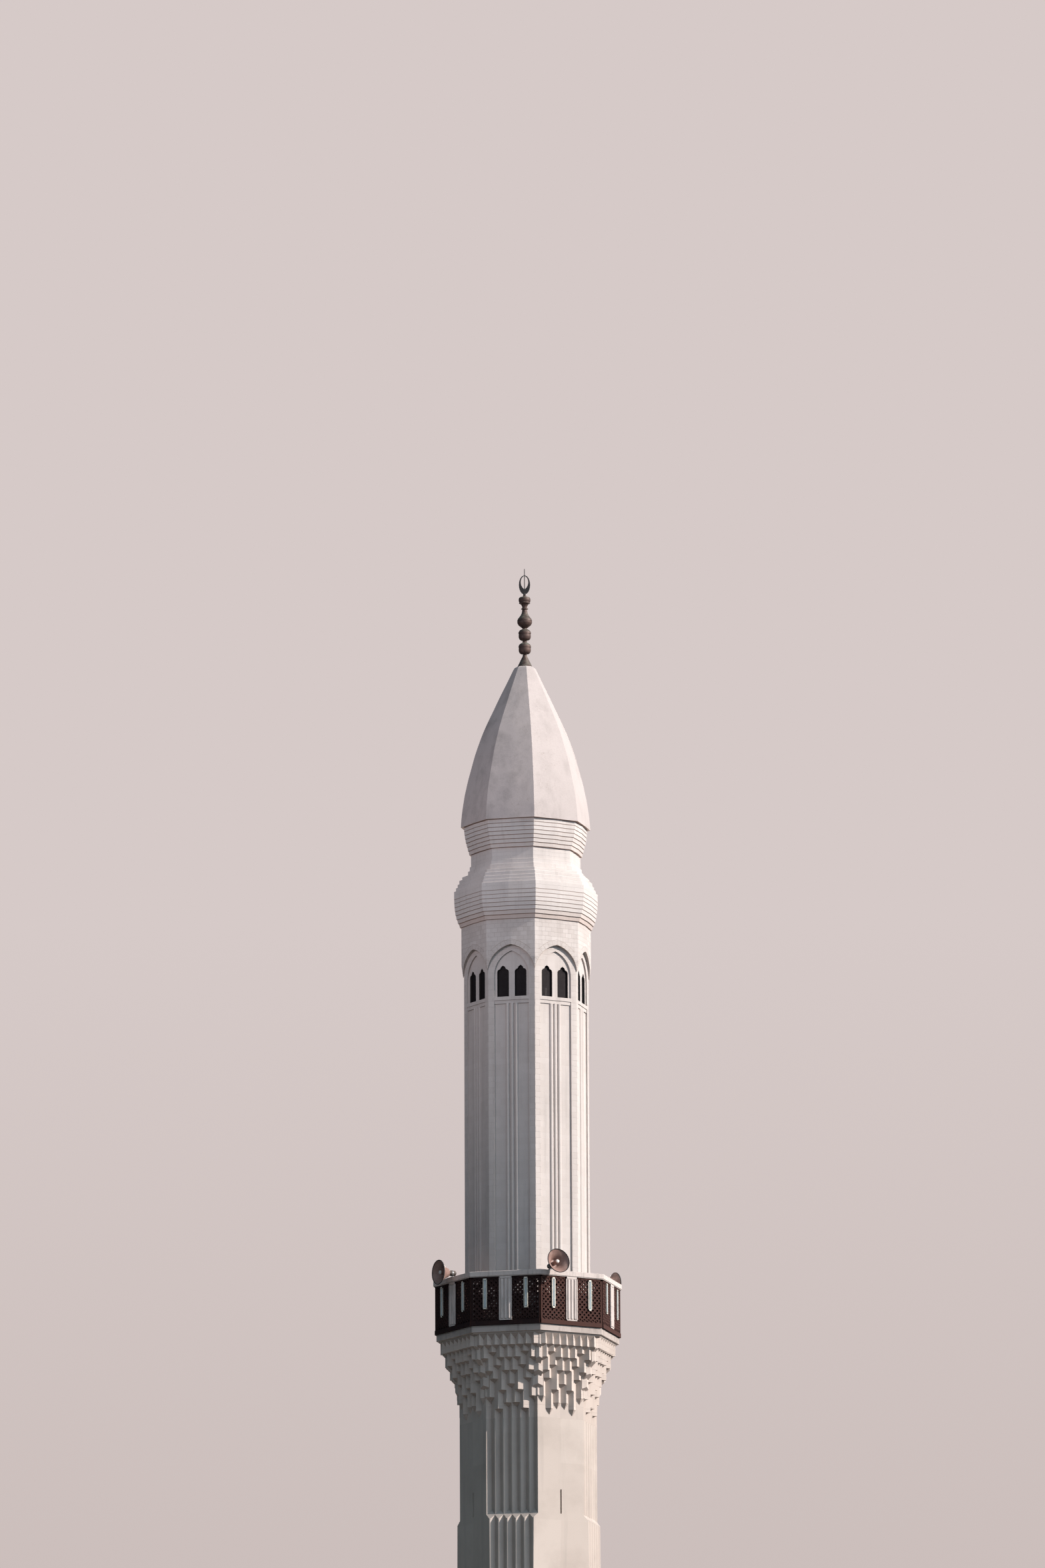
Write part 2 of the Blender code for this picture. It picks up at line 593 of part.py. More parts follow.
# Finial.
base = DOME[-1][0]
shape = bmesh.new()
profile = [(0, base + GAP), (0.165, base + GAP), (0.16, base + 0.02), (0.043, base + 0.26), (0.043, base + 0.28)]
for ball in (34.78, 35.09):
    profile += [(0.07, ball - 0.13), (0.118, ball - 0.095), (0.135, ball - 0.045), (0.138, ball + 0.02),
                (0.13, ball + 0.07), (0.10, ball + 0.11), (0.055, ball + 0.13)]
profile += [(0.055, 35.24), (0, 35.24)]
revolve(shape, profile, 20, False)
add_object("finial_balls", shape, BRONZE)
shape = bmesh.new()
profile = [(0, 35.24 + GAP), (0.055, 35.24 + GAP), (0.10, 35.28), (0.135, 35.31), (0.16, 35.354), (0.166, 35.40),
           (0.16, 35.432), (0.146, 35.46), (0.111, 35.505), (0.082, 35.55), (0.063, 35.60), (0.054, 35.665),
           (0.078, 35.672), (0.078, 35.69), (0.053, 35.70), (0.058, 35.738), (0.078, 35.778), (0.123, 35.805),
           (0.123, 35.825), (0.117, 35.838), (0.13, 35.855), (0.131, 35.90), (0.116, 35.94), (0.06, 35.957),
           (0.037, 35.962), (0.037, 35.988), (0.022, 36.00), (0, 36.00)]
revolve(shape, profile, 20, False)
add_object("finial_vase", shape, BRONZE)
shape = bmesh.new()
outer = [(0.125 * math.sin(t * math.pi / 10), 36.23 - 0.215 * math.cos(t * math.pi / 10)) for t in range(20)]
elevation(shape, outer, -0.018, 0.018)
crescent = add_object("crescent", shape, BRONZE)
shape = bmesh.new()
inner = []
for t in range(20):
    across, up = math.sin(t * math.pi / 10), -math.cos(t * math.pi / 10)
    inner.append((0.083 * across, 36.2925 + 0.1375 * up - (0.03 * (1 - abs(across)) ** 2 if up < 0 else 0.0)))
elevation(shape, inner, -0.05, 0.05)
combine(crescent, add_object("crescent_cutter", shape, helper=True), "DIFFERENCE")
shape = bmesh.new()
profile = [(0, 36.00 + GAP), (0.03, 36.00 + GAP), (0.014, 36.06), (0.0095, 36.14), (0.0085, 36.585), (0, 36.60)]
revolve(shape, profile, 10, False)
combine(crescent, add_object("rod", shape, helper=True), "UNION")
bake(crescent)
crescent.data.transform(Matrix.Rotation(math.radians(-30), 4, "Z"))

# Horns on the coping.
HORN = [(0, 0.20), (0.045, 0.17), (0.05, 0.03), (0.085, 0.03), (0.118, 0.10), (0.178, 0.18), (0.255, 0.245),
        (0.27, 0.262), (0.275, 0.245), (0.195, 0.165), (0.135, 0.08), (0.095, 0.01), (0.06, -0.02),
        (0.06, -0.17), (0.045, -0.19), (0, -0.19)]
for number, (i, along, height, tilt) in enumerate(HORNS):
    shape = bmesh.new()
    revolve(shape, [(r, -z) for r, z in HORN], 16, False)
    bmesh.ops.rotate(shape, verts=shape.verts, cent=(0, 0, 0), matrix=Matrix.Rotation(math.pi / 2, 3, "X"))
    bmesh.ops.rotate(shape, verts=shape.verts, cent=(0, 0, 0), matrix=Matrix.Rotation(math.pi, 3, "Z"))
    bmesh.ops.rotate(shape, verts=shape.verts, cent=(0, 0, 0), matrix=Matrix.Rotation(-math.radians(tilt), 3, "X"))
    bmesh.ops.translate(shape, verts=shape.verts, vec=(along, -HORN_R, height))
    horn = add_object(f"horn_{number + 1}", shape, PAINT)
    shape = bmesh.new()
    middle = -(COPING[0] + COPING[1]) / 2
    box(shape, along - 0.05, along + 0.05, middle - 0.04, middle + 0.04, COPING_TOP + GAP, COPING_TOP + 0.015)
    box(shape, along - 0.02, along + 0.02, middle - 0.015, middle + 0.015, COPING_TOP + 0.01, height)
    combine(horn, add_object(f"bracket_{number + 1}", shape, helper=True), "UNION", True)
    bake(horn)
    horn.data.transform(Matrix.Rotation(i * math.pi / 4, 4, "Z"))
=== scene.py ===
import functools
import math

import bmesh
import bpy
from bmesh.types import BMEdge, BMFace, BMVert
from mathutils import Matrix, Vector, noise


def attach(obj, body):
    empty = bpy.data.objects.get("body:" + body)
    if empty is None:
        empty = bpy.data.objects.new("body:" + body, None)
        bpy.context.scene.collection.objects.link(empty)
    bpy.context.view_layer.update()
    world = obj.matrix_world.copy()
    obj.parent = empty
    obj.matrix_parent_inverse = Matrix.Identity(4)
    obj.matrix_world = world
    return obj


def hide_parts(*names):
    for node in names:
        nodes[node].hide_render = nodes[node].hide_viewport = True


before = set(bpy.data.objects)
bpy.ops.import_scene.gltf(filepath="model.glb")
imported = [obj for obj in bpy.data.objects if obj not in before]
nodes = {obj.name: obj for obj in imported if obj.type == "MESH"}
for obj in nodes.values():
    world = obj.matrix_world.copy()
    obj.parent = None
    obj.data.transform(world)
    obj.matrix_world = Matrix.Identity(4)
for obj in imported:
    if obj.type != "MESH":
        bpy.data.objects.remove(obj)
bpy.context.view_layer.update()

scene = bpy.context.scene
halfTan = math.tan(math.pi / 8)


def cornerOf(apothem):
    return apothem / math.cos(math.pi / 8)


# Materials.

def hexColour(text):
    channels = [int(text[i:i + 2], 16) / 255 for i in (1, 3, 5)]
    return tuple(c / 12.92 if c <= 0.04045 else ((c + 0.055) / 1.055) ** 2.4 for c in channels) + (1.0,)


def put(tree, kind, *values, **settings):
    # The values go to the sockets in their order, or by name where they come as a dictionary. A MapRange
    # takes the value, the two ends of the range it comes from, then the two that it goes to.
    node = tree.nodes.new("ShaderNode" + kind)
    for key, value in settings.items():
        setattr(node, key, value)
    named = values[0] if values and isinstance(values[0], dict) else dict(enumerate(values))
    for key, value in named.items():
        if isinstance(value, bpy.types.NodeSocket):
            tree.links.new(value, node.inputs[key])
        else:
            node.inputs[key].default_value = value
    return node.outputs


def startMaterial(name, **shaderValues):
    made = bpy.data.materials.new(name)
    made.use_nodes = True
    tree = made.node_tree
    shader = tree.nodes["Principled BSDF"]
    for key, value in shaderValues.items():
        shader.inputs[key.replace("_", " ")].default_value = value
    return made, tree, shader


def finish(tree, shader, look, tone, layers, texture, bumped):
    # Tones lie one over another, each through its mask, and the gloss follows the texture.
    add = functools.partial(put, tree)
    for mask, colour in layers:
        tone = add("Mix", {0: mask, 6: tone, 7: hexColour(colour)}, data_type="RGBA")[2]
    smooth, coarse = look["rough"]
    rough = add("MapRange", texture, 0.3, 0.7, smooth, coarse)[0]
    for value, socket in ((tone, "Base Color"), (rough, "Roughness"), (bumped, "Normal")):
        tree.links.new(value, shader.inputs[socket])


def stoneMaterial(name, look, **changes):
    look = dict(look, **changes)
    made, tree, shader = startMaterial(name, IOR=1.5)
    add = functools.partial(put, tree)
    place = add("TexCoord")["Object"]
    apart = add("SeparateXYZ", place)
    height = apart["Z"]
    facing = add("NewGeometry")["True Normal"]
    # Blocks run level along each face, whichever way it turns.
    across = add("VectorMath", (0, 0, 1), facing, operation="CROSS_PRODUCT")[0]
    along = add("VectorMath", place, across, operation="DOT_PRODUCT")["Value"]
    rise = add("Math", height, look["start"], operation="SUBTRACT")[0]
    flat = add("CombineXYZ", along, rise)[0]
    wide, tall = look["block"]
    blocks = add("TexBrick", {"Vector": flat, "Color1": (1, 1, 1, 1), "Color2": (0, 0, 0, 1),
                              "Mortar": (0.5, 0.5, 0.5, 1), "Scale": 1.0, "Mortar Size": look["joint"],
                              "Mortar Smooth": 0.3, "Brick Width": wide, "Row Height": tall}, offset=0.5)
    joints = blocks["Fac"]
    blotches = add("TexNoise", {"Vector": place, "Scale": 1000 / look["blotch"], "Detail": 7.0,
                                "Roughness": 0.62})["Fac"]
    level, drop = look["streak"]
    stretched = add("VectorMath", place, (1000 / level, 1000 / level, 1000 / drop), operation="MULTIPLY")[0]
    streaks = add("TexNoise", {"Vector": stretched, "Scale": 1.0, "Detail": 6.0, "Roughness": 0.6})["Fac"]
    grain = add("TexNoise", {"Vector": place, "Scale": 1000 / look["grain"], "Detail": 4.0,
                             "Roughness": 0.7})["Fac"]
    masks = {}
    for kind, source, low, high in (("blotch", blotches, 0.46, 0.70), ("streak", streaks, 0.52, 0.74),
                                    ("speck", grain, 0.50, 0.80)):
        masks[kind] = add("MapRange", source, low, high, 0.0, look[kind + "Amount"])[0]
    stains = masks["blotch"]
    if "sunnySide" in look:
        kept = add("MapRange", apart["X"], -0.7, 0.3, 1.0, look["sunnySide"])[0]
        stains = add("Math", stains, kept, operation="MULTIPLY")[0]
    patchy = add("TexNoise", {"Vector": place, "Scale": 1000 / look["broken"], "Detail": 3.0})["Fac"]
    patchy = add("MapRange", patchy, 0.44, 0.62, look["jointAmount"] * 0.55, look["jointAmount"])[0]
    jointMask = add("Math", joints, patchy, operation="MULTIPLY")[0]
    tone = add("Mix", {0: blocks["Color"], 6: hexColour(look["light"]), 7: hexColour(look["deep"])},
               data_type="RGBA")[2]
    tone = add("Mix", {0: look["toneAmount"], 6: hexColour(look["base"]), 7: tone}, data_type="RGBA")[2]
    layers = [(stains, look["stain"]), (masks["streak"], look["soot"]), (masks["speck"], look["soot"]),
              (jointMask, look["jointTone"])]
    if "cracks" in look:
        size, amount = look["cracks"]
        ragged = add("TexNoise", {"Vector": place, "Scale": 5.0, "Detail": 3.0})["Color"]
        ragged = add("VectorMath", place, ragged, operation="ADD")[0]
        cells = add("TexVoronoi", {"Vector": ragged, "Scale": 1000 / size}, feature="DISTANCE_TO_EDGE")
        crack = add("MapRange", cells["Distance"], 0.012, 0.0, 0.0, amount)[0]
        patch = add("TexNoise", {"Vector": place, "Scale": 1.3})["Fac"]
        patch = add("MapRange", patch, 0.50, 0.62)[0]
        layers.append((add("Math", crack, patch, operation="MULTIPLY")[0], look["jointTone"]))
    if "line" in look:
        # A painted shadow line, with some dirt, under the top edge of each course, where the course above
        # overhangs.
        low, high, pitch, thick = look["line"]
        part = add("Math", height, low, operation="SUBTRACT")[0]
        part = add("Math", part, pitch, operation="DIVIDE")[0]
        part = add("Math", part, operation="FRACT")[0]
        edge = add("MapRange", part, 1 - 1.6 * thick / pitch, 1 - 0.9 * thick / pitch)[0]
        inside = add("Math", height, high, operation="LESS_THAN")[0]
        above = add("Math", height, low - pitch * 0.3, operation="GREATER_THAN")[0]
        for share in (inside, above, look["lineAmount"]):
            edge = add("Math", edge, share, operation="MULTIPLY")[0]
        layers.append((edge, look["lineTone"]))
    if "inside" in look:
        # Painted shade on all that lies behind the outer faces, standing for the dark inside; the ribbed
        # corners stand farther out.
        positive = add("VectorMath", place, operation="ABSOLUTE")[0]
        positive = add("SeparateXYZ", positive)
        far = add("Math", positive["X"], positive["Y"], operation="MAXIMUM")[0]
        both = add("Math", positive["X"], positive["Y"], operation="ADD")[0]
        both = add("Math", both, 0.7071, 0.10, operation="MULTIPLY_ADD")[0]
        far = add("Math", far, both, operation="MAXIMUM")[0]
        full, none = look["inside"]
        insideShadeMask = add("MapRange", far, none, full)[0]
        layers.append((insideShadeMask, look["insideShadeTone"]))
    # Faces turned downwards take the under tone: painted shade beneath overhangs and soffits, with a little
    # soot.
    underShadeMask = add("SeparateXYZ", facing)["Z"]
    underShadeMask = add("MapRange", underShadeMask, -0.12, -0.45, 0.0, look["under"])[0]
    layers.append((underShadeMask, look["underTone"]))
    relief = add("Math", joints, -look["jointDepth"], operation="MULTIPLY")[0]
    for source, depth in ((grain, look["grainDepth"]), (blotches, look["waveDepth"])):
        relief = add("Math", source, depth, relief, operation="MULTIPLY_ADD")[0]
    bumped = add("Bump", {"Height": relief, "Strength": 1.0, "Distance": 0.001})[0]
    finish(tree, shader, look, tone, layers, blotches, bumped)
    return made


# Limestone sawn in blocks and rubbed flat: matt, with faint bed joints, soft grey streaks and a tone that
# shifts from block to block; faces turned down take a dark painted shade, with a little soot.
limestoneLook = {
    "base": "#c9bfb9", "light": "#cfc6c1", "deep": "#bfb4ad", "toneAmount": 0.3, "stain": "#b1a9a4",
    "soot": "#857c77", "under": 0.45, "underTone": "#5f4f48", "jointTone": "#94867d", "insideShadeTone": "#2b2320",
    "block": (0.21, 0.128), "joint": 0.0035, "start": 19.33, "jointAmount": 0.24, "broken": 460.0,
    "blotch": 900.0, "blotchAmount": 0.3, "streak": (160.0, 2600.0), "streakAmount": 0.22, "grain": 14.0,
    "speckAmount": 0.2, "rough": (0.78, 0.9), "jointDepth": 2.0, "grainDepth": 0.9, "waveDepth": 3.0}
limestone = stoneMaterial("sawnLimestone", limestoneLook)
# The hoods are laid in small squared stones, so tone changes from stone to stone more than the joints show.
hoodLimestone = stoneMaterial(
    "squaredLimestone", limestoneLook, block=(0.15, 0.098), toneAmount=0.62, light="#d3cbc6",
    deep="#bcb2ac", jointAmount=0.34, broken=300.0)
# Struck mortar in the joints of the arch stones: a little darker and browner than they are; it also draws
# a painted shade line along the arch's edge.
archMortar = stoneMaterial("struckMortar", limestoneLook, base="#a39488", light="#ab9d92", deep="#96877b")
# The sunk panels are rubbed to one even skin: hardly a joint, only soft rain marks.
panelLimestone = stoneMaterial(
    "rubbedLimestone", limestoneLook, block=(0.26, 0.128), toneAmount=0.3, jointAmount=0.07, jointDepth=0.5,
    streakAmount=0.26)
# Moulded courses: cleaner pale stone, each course with a thin brown painted shadow line, with some dirt,
# along its top edge; faces turned down take a warm painted shade.
mouldingLook = dict(
    limestoneLook, base="#cfc7c2", light="#d3ccc8", deep="#c5bcb6", block=(0.30, 0.0907), start=28.44,
    jointAmount=0.08, line=(28.44, 29.11, 0.09, 0.008), lineTone="#7a5a48", lineAmount=0.6,
    underTone="#b58a73", under=0.7)
mouldedLimestone = stoneMaterial("mouldedLimestone", mouldingLook)
# The same stone under the dome, in finer courses with a heavier painted shadow line.
corniceLimestone = stoneMaterial(
    "corniceLimestone", mouldingLook, block=(0.42, 0.0886), start=30.08,
    line=(30.08, 30.72, 0.08857, 0.010))
# The prisms under the gallery are carved from larger stones: few joints, and a little more painted shade,
# with soot, on their undersides.
carvedLimestone = stoneMaterial(
    "carvedLimestone", limestoneLook, block=(0.55, 0.28), jointAmount=0.2, base="#c5b7ad", light="#cabdb4",
    deep="#bbaca2", streakAmount=0.25, under=0.5)
# Lime render trowelled smooth over the lower shaft: wide soft clouds, long rain marks, no block joints.
# Behind the outer faces it takes a near-black painted shade of the inside.
limeRender = stoneMaterial(
    "trowelledLimeRender", limestoneLook, base="#c0b3a9", light="#c6bab1", deep="#b5a89f", stain="#a2958c",
    toneAmount=0.4, block=(2.4, 1.25), joint=0.004, start=0.15, jointAmount=0.03, jointDepth=0.1,
    blotch=1100.0, blotchAmount=0.42, streak=(260.0, 3600.0), streakAmount=0.34, waveDepth=5.0,
    inside=(1.33, 1.385))
# Limewash brushed on concrete: chalky white with runs of dirt below the edges.
limewashLook = dict(
    limestoneLook, base="#d2c6c0", light="#d7ccc6", deep="#c5b8b1", toneAmount=0.5, soot="#6e655f",
    block=(1.2, 0.6), joint=0.003, jointAmount=0.3, blotch=260.0, blotchAmount=0.4, streak=(70.0, 500.0),
    streakAmount=0.45, waveDepth=2.0)
limewash = stoneMaterial("brushedLimewash", limewashLook)
# The edge of the gallery floor is concrete with most of its wash rained off.
wornLimewash = stoneMaterial(
    "wornLimewashOnConcrete", limewashLook, base="#b6aaa3", light="#c0b4ae", deep="#a4978f",
    stain="#93877f", streakAmount=0.6, under=0.35)
# Fine cement plaster floated on the dome: smooth and pale, with hair cracks, pin holes and brown specks;
# faces turned down take a warm painted shade.
domePlaster = stoneMaterial(
    "floatedPlaster", limestoneLook, base="#c0b5b1", light="#c5bbb7", deep="#b5aaa5", toneAmount=0.3,
    stain="#8f8884", block=(9.0, 9.0), joint=0.003, start=30.70, jointAmount=0.0, jointDepth=0.0,
    blotch=420.0, blotchAmount=0.5, streak=(300.0, 1300.0), streakAmount=0.3, grain=26.0, speckAmount=0.3,
    sunnySide=0.2, cracks=(520.0, 0.7), underTone="#b08c78", under=0.7, waveDepth=6.0)

# What painted and metal looks share unless they say otherwise; patch and grain are in millimetres.
paintLook = {"wornAmount": 0.6, "patch": 70.0, "grain": 7.0, "rough": (0.5, 0.7), "depth": 0.0003,
             "metallic": 0.0, "gloss": 0.5}


def paintMaterial(name, **changes):
    look = dict(paintLook, **changes)
    made, tree, shader = startMaterial(name, Metallic=look["metallic"], Specular_IOR_Level=look["gloss"])
    add = functools.partial(put, tree)
    place = add("TexCoord")["Object"]
    normals = add("NewGeometry")
    wear = add("TexNoise", {"Vector": place, "Scale": 1000 / look["patch"], "Detail": 6.0,
                            "Roughness": 0.65})["Fac"]
    fine = add("TexNoise", {"Vector": place, "Scale": 1000 / look["grain"], "Detail": 3.0})["Fac"]
    mask = add("MapRange", wear, 0.45, 0.68, 0.0, look["wornAmount"])[0]
    dots = add("MapRange", fine, 0.58, 0.75, 0.0, 0.3)[0]
    layers = [(mask, look["worn"]), (dots, look["dirt"])]
    # Faces turned to the sun take a lighter, redder tone: painted sunlight together with the paint's sun
    # fading.
    if "faded" in look:
        colour, amount = look["faded"]
        sunny = add("VectorMath", normals["True Normal"], (0.69, -0.72, 0.0),
                    operation="DOT_PRODUCT")["Value"]
        layers.append((add("MapRange", sunny, 0.1, 0.7, 0.0, amount)[0], colour))
    if "top" in look:
        colour, amount = look["top"]
        up = add("SeparateXYZ", normals["Normal"])["Z"]
        up = add("MapRange", up, 0.1, 0.7, 0.0, amount)[0]
        ragged = add("MapRange", wear, 0.35, 0.6)[0]
        layers.append((add("Math", up, ragged, operation="MULTIPLY")[0], colour))
    bumped = add("Bump", {"Height": fine, "Strength": 1.0, "Distance": look["depth"]})[0]
    finish(tree, shader, look, hexColour(look["base"]), layers, wear, bumped)
    return made


# Pierced boards under old brown gloss paint: gone flat and a little red where the paint has chalked, and
# painted lighter and redder on the faces turned to the sun, for sunlight together with fading.
screenPaint = paintMaterial(
    "chalkedBrownGloss", base="#2a1c1b", worn="#3c2825", wornAmount=0.7, dirt="#150e0f", gloss=0.15,
    patch=180.0, grain=18.0, rough=(0.72, 0.9), depth=0.0006, faded=("#5c3d35", 0.48))
# Cast bronze left to tarnish: dark brown skin with a low sheen and rubbed warmer spots.
tarnishedBronze = paintMaterial(
    "castTarnishedBronze", base="#523f39", worn="#6a5047", dirt="#2f2524", patch=90.0, grain=9.0,
    depth=0.0004, metallic=0.3, top=("#74776c", 0.7))
# Rolled bronze sheet of the crescent: near black with age.
darkBronze = paintMaterial(
    "rolledBlackenedBronze", base="#2f2c2e", worn="#453d3b", wornAmount=0.5, dirt="#1a1819", grain=8.0,
    metallic=0.3)
# Spun aluminium horns with sprayed enamel, faded to a dull pinkish brown.
hornEnamel = paintMaterial(
    "fadedHornEnamel", base="#8c6f66", worn="#a58a80", wornAmount=0.7, dirt="#5a4740", patch=90.0,
    rough=(0.4, 0.6))
# Driver casing behind each horn, sprayed dark grey-brown and dusty on top.
casingEnamel = paintMaterial(
    "sprayedCasingEnamel", base="#3f3531", worn="#54473f", dirt="#251e1c", top=("#7a6c61", 0.5))
# Rolled rubber edge: black, dull.
rimRubber = paintMaterial(
    "mouldedRimRubber", base="#2c2a2a", worn="#454140", wornAmount=0.4, dirt="#191717", patch=60.0,
    grain=5.0, rough=(0.7, 0.85))
# Moulded pale plastic at the horn's core.
coreWhite = paintMaterial(
    "mouldedWhitePlastic", base="#e4ded6", worn="#cfc6bb", wornAmount=0.5, dirt="#a79c90", patch=60.0,
    grain=5.0, rough=(0.3, 0.5), depth=0.0002)
# Hot-dip galvanised steel straps: mottled grey.
zincSteel = paintMaterial(
    "galvanisedSteel", base="#8d8f91", worn="#6e6a67", wornAmount=0.7, dirt="#5b4c42", patch=40.0,
    grain=6.0, rough=(0.4, 0.62), metallic=0.8)
# Folded sheet-steel battens in cream stove enamel, dusty and rust-marked at the ends.
battenEnamel = paintMaterial(
    "foldedCreamEnamel", base="#ddd8cc", worn="#c2b6a2", wornAmount=0.5, dirt="#6d5a48", patch=130.0,
    grain=9.0, rough=(0.4, 0.62))
# Drawn glass tube coated white inside, unlit and blue-grey.
tubeGlass = paintMaterial(
    "drawnCoatedTube", base="#b4c1c6", worn="#c6ced0", wornAmount=0.4, dirt="#7d8a8f", patch=150.0,
    grain=12.0, rough=(0.18, 0.32), depth=0.0001)
# Wire netting coloured near black: painted shade of the dark window openings behind it.
shadeNet = paintMaterial(
    "nearBlackNetShade", base="#1d1618", worn="#2b2122", dirt="#120d0e", patch=60.0, grain=8.0,
    rough=(0.6, 0.8), metallic=0.5)
# Plaster inside the shaft and the shells, coloured near black: painted shade of the dark inside.
insideShadePlaster = paintMaterial(
    "paintedInsideShade", base="#2b2320", worn="#3d322d", wornAmount=0.7, dirt="#1a1412", patch=420.0,
    grain=30.0, rough=(0.8, 0.95), depth=0.002)
print("materials ready")


# Shape helpers.

def placed(name, mesh, slot, *replaced):
    piece = bpy.data.objects.new(name, mesh)
    scene.collection.objects.link(piece)
    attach(piece, "root")
    if replaced:
        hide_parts(*replaced)
    return piece


def keep(name, shape, looks, slot, *replaced, smooth=None, turn=0.0):
    bmesh.ops.recalc_face_normals(shape, faces=shape.faces)
    mesh = bpy.data.meshes.new(name)
    shape.to_mesh(mesh)
    shape.free()
    if turn:
        mesh.transform(Matrix.Rotation(turn, 4, "Z"))
    for look in looks:
        mesh.materials.append(look)
    if smooth:
        mesh.shade_smooth()
        mesh.set_sharp_from_angle(angle=math.radians(smooth))
    return placed(name, mesh, slot, *replaced)


def repeated(first, stem, count, slot, solid=None):
    # The first piece again in equal turns round the tower, up to the full count.
    for i in range(1, count):
        mesh = first.data.copy()
        mesh.transform(Matrix.Rotation(i * 2 * math.pi / count, 4, "Z"))
        placed(f"{stem}{i + 1}", mesh, slot, *([f"{solid}_{i + 1}"] if solid else []))


def only(kind, parts):
    return [part for part in parts if isinstance(part, kind)]


def marked(verts, look):
    for face in {f for v in verts for f in v.link_faces}:
        face.material_index = look


def spun(shape, profile, steps, phase=0.0, closed=True, look=0):
    before = set(shape.faces)
    verts = [shape.verts.new((r * math.cos(phase), r * math.sin(phase), z)) for r, z in profile]
    pairs = list(zip(verts, verts[1:])) + ([(verts[-1], verts[0])] if closed else [])
    edges = [shape.edges.new(pair) for pair in pairs]
    bmesh.ops.spin(shape, geom=verts + edges, cent=(0, 0, 0), axis=(0, 0, 1), dvec=(0, 0, 0),
                   angle=2 * math.pi, steps=steps, use_merge=True)
    made = [face for face in shape.faces if face not in before]
    bmesh.ops.remove_doubles(shape, verts=list({v for face in made for v in face.verts}), dist=1e-5)
    for face in shape.faces:
        if face not in before:
            face.material_index = look


def eightSided(shape, profile):
    spun(shape, [(cornerOf(r), z) for r, z in profile], 8, math.pi / 8)


def shadeInside(shape, reach):
    # Faces nearer the middle than the reach take the painted shade of the inside.
    for face in shape.faces:
        middle = face.calc_center_median()
        if math.hypot(middle.x, middle.y) < cornerOf(reach):
            face.material_index = 1


def creased(shape, factor):
    # The points between the eight corners move in, so that each side has a fold down its middle.
    for vert in shape.verts:
        angle = math.degrees(math.atan2(vert.co.y, vert.co.x)) % 45
        if min(angle, 45 - angle) < 20:
            vert.co.x *= factor
            vert.co.y *= factor


def raised(shape, outline, holes, front, back, look=0):
    edges = []
    for loop in [outline] + holes:
        verts = [shape.verts.new((x, front, z)) for x, z in loop]
        edges += [shape.edges.new((verts[i - 1], verts[i])) for i in range(len(verts))]
    filled = bmesh.ops.triangle_fill(shape, use_beauty=True, use_dissolve=False, edges=edges)["geom"]
    faces = only(BMFace, filled)
    moved = only(BMVert, bmesh.ops.extrude_face_region(shape, geom=faces)["geom"])
    bmesh.ops.translate(shape, verts=moved, vec=(0, back - front, 0))
    made = set(faces) | {f for v in moved for f in v.link_faces}
    for face in made:
        face.material_index = look
    return list({v for face in made for v in face.verts})


def block(shape, x0, x1, y0, y1, z0, z1, look=0):
    spot = Matrix.Translation(((x0 + x1) / 2, (y0 + y1) / 2, (z0 + z1) / 2))
    spot = spot @ Matrix.Diagonal((x1 - x0, y1 - y0, z1 - z0, 1))
    marked(bmesh.ops.create_cube(shape, size=1.0, matrix=spot)["verts"], look)


def sideBlock(shape, sign, near, far, *rest, look=0):
    # A block between two distances from the middle, on the left or the right of it.
    block(shape, *sorted((sign * near, sign * far)), *rest, look=look)


def rod(shape, steps, radius, x, y, bottom, top, deep=1.0, look=0):
    spot = Matrix.Translation((x, y, (bottom + top) / 2)) @ Matrix.Diagonal((1, deep, 1, 1))
    made = bmesh.ops.create_cone(shape, cap_ends=True, segments=steps, radius1=radius, radius2=radius,
                                 depth=top - bottom, matrix=spot)
    marked(made["verts"], look)


def pointedArch(half, foot, apex, count):
    rise = apex - foot
    radius = (half * half + rise * rise) / (2 * half)
    last = math.asin(rise / radius)
    left = [(-half + radius - radius * math.cos(last * t / count),
             foot + radius * math.sin(last * t / count)) for t in range(count + 1)]
    return left + [(-x, z) for x, z in reversed(left[:-1])]


def curve(points, count=4):
    padded = [points[0]] + list(points) + [points[-1]]
    out = []
    for i in range(len(points) - 1):
        a, b, c, d = (Vector(p) for p in padded[i:i + 4])
        for t in range(count):
            s = t / count
            out.append(tuple(0.5 * (2 * b + (c - a) * s + (2 * a - 5 * b + 4 * c - d) * s * s
                                    + (3 * b - a - 3 * c + d) * s ** 3)))
    return out + [tuple(points[-1])]


# Upper shaft.

wallSize = {
    "inner": 1.04, "outer": 1.28, "foot": 19.33, "top": 28.4397,
    "recess": 1.245, "recessHalf": 0.392, "recessFoot": 0.10, "recessSpring": 27.20, "recessApex": 27.74,
    "panelFoot": 0.05, "panelLap": 0.03,
    "hood": 1.33, "hoodMiddle": 1.36, "hoodFoot": 27.215, "hoodApex": 27.87, "hoodTaper": 27.59,
    "arcSteps": 14, "archStones": 9, "voussoir": 0.115, "joint": 0.006,
    "sill": (26.565, 26.642, 26.719), "sillProud": (0.022, 0.036),
    "ribRadius": 0.041, "ribDeep": 0.034, "ribPitch": 0.1,
    "windowX": 0.199, "windowFoot": 26.72, "windowHalf": 0.133, "reveal": 0.008,
    "cusps": [(0.133, 0.0), (0.133, 0.55), (0.129, 0.575), (0.116, 0.597), (0.098, 0.611), (0.078, 0.618),
              (0.066, 0.623), (0.062, 0.637), (0.054, 0.655), (0.040, 0.672), (0.022, 0.684), (0.0, 0.700)],
    "net": 1.205, "wire": 0.003, "netStrip": (0.0115, 0.016), "netWeft": (0.011, 0.024)}
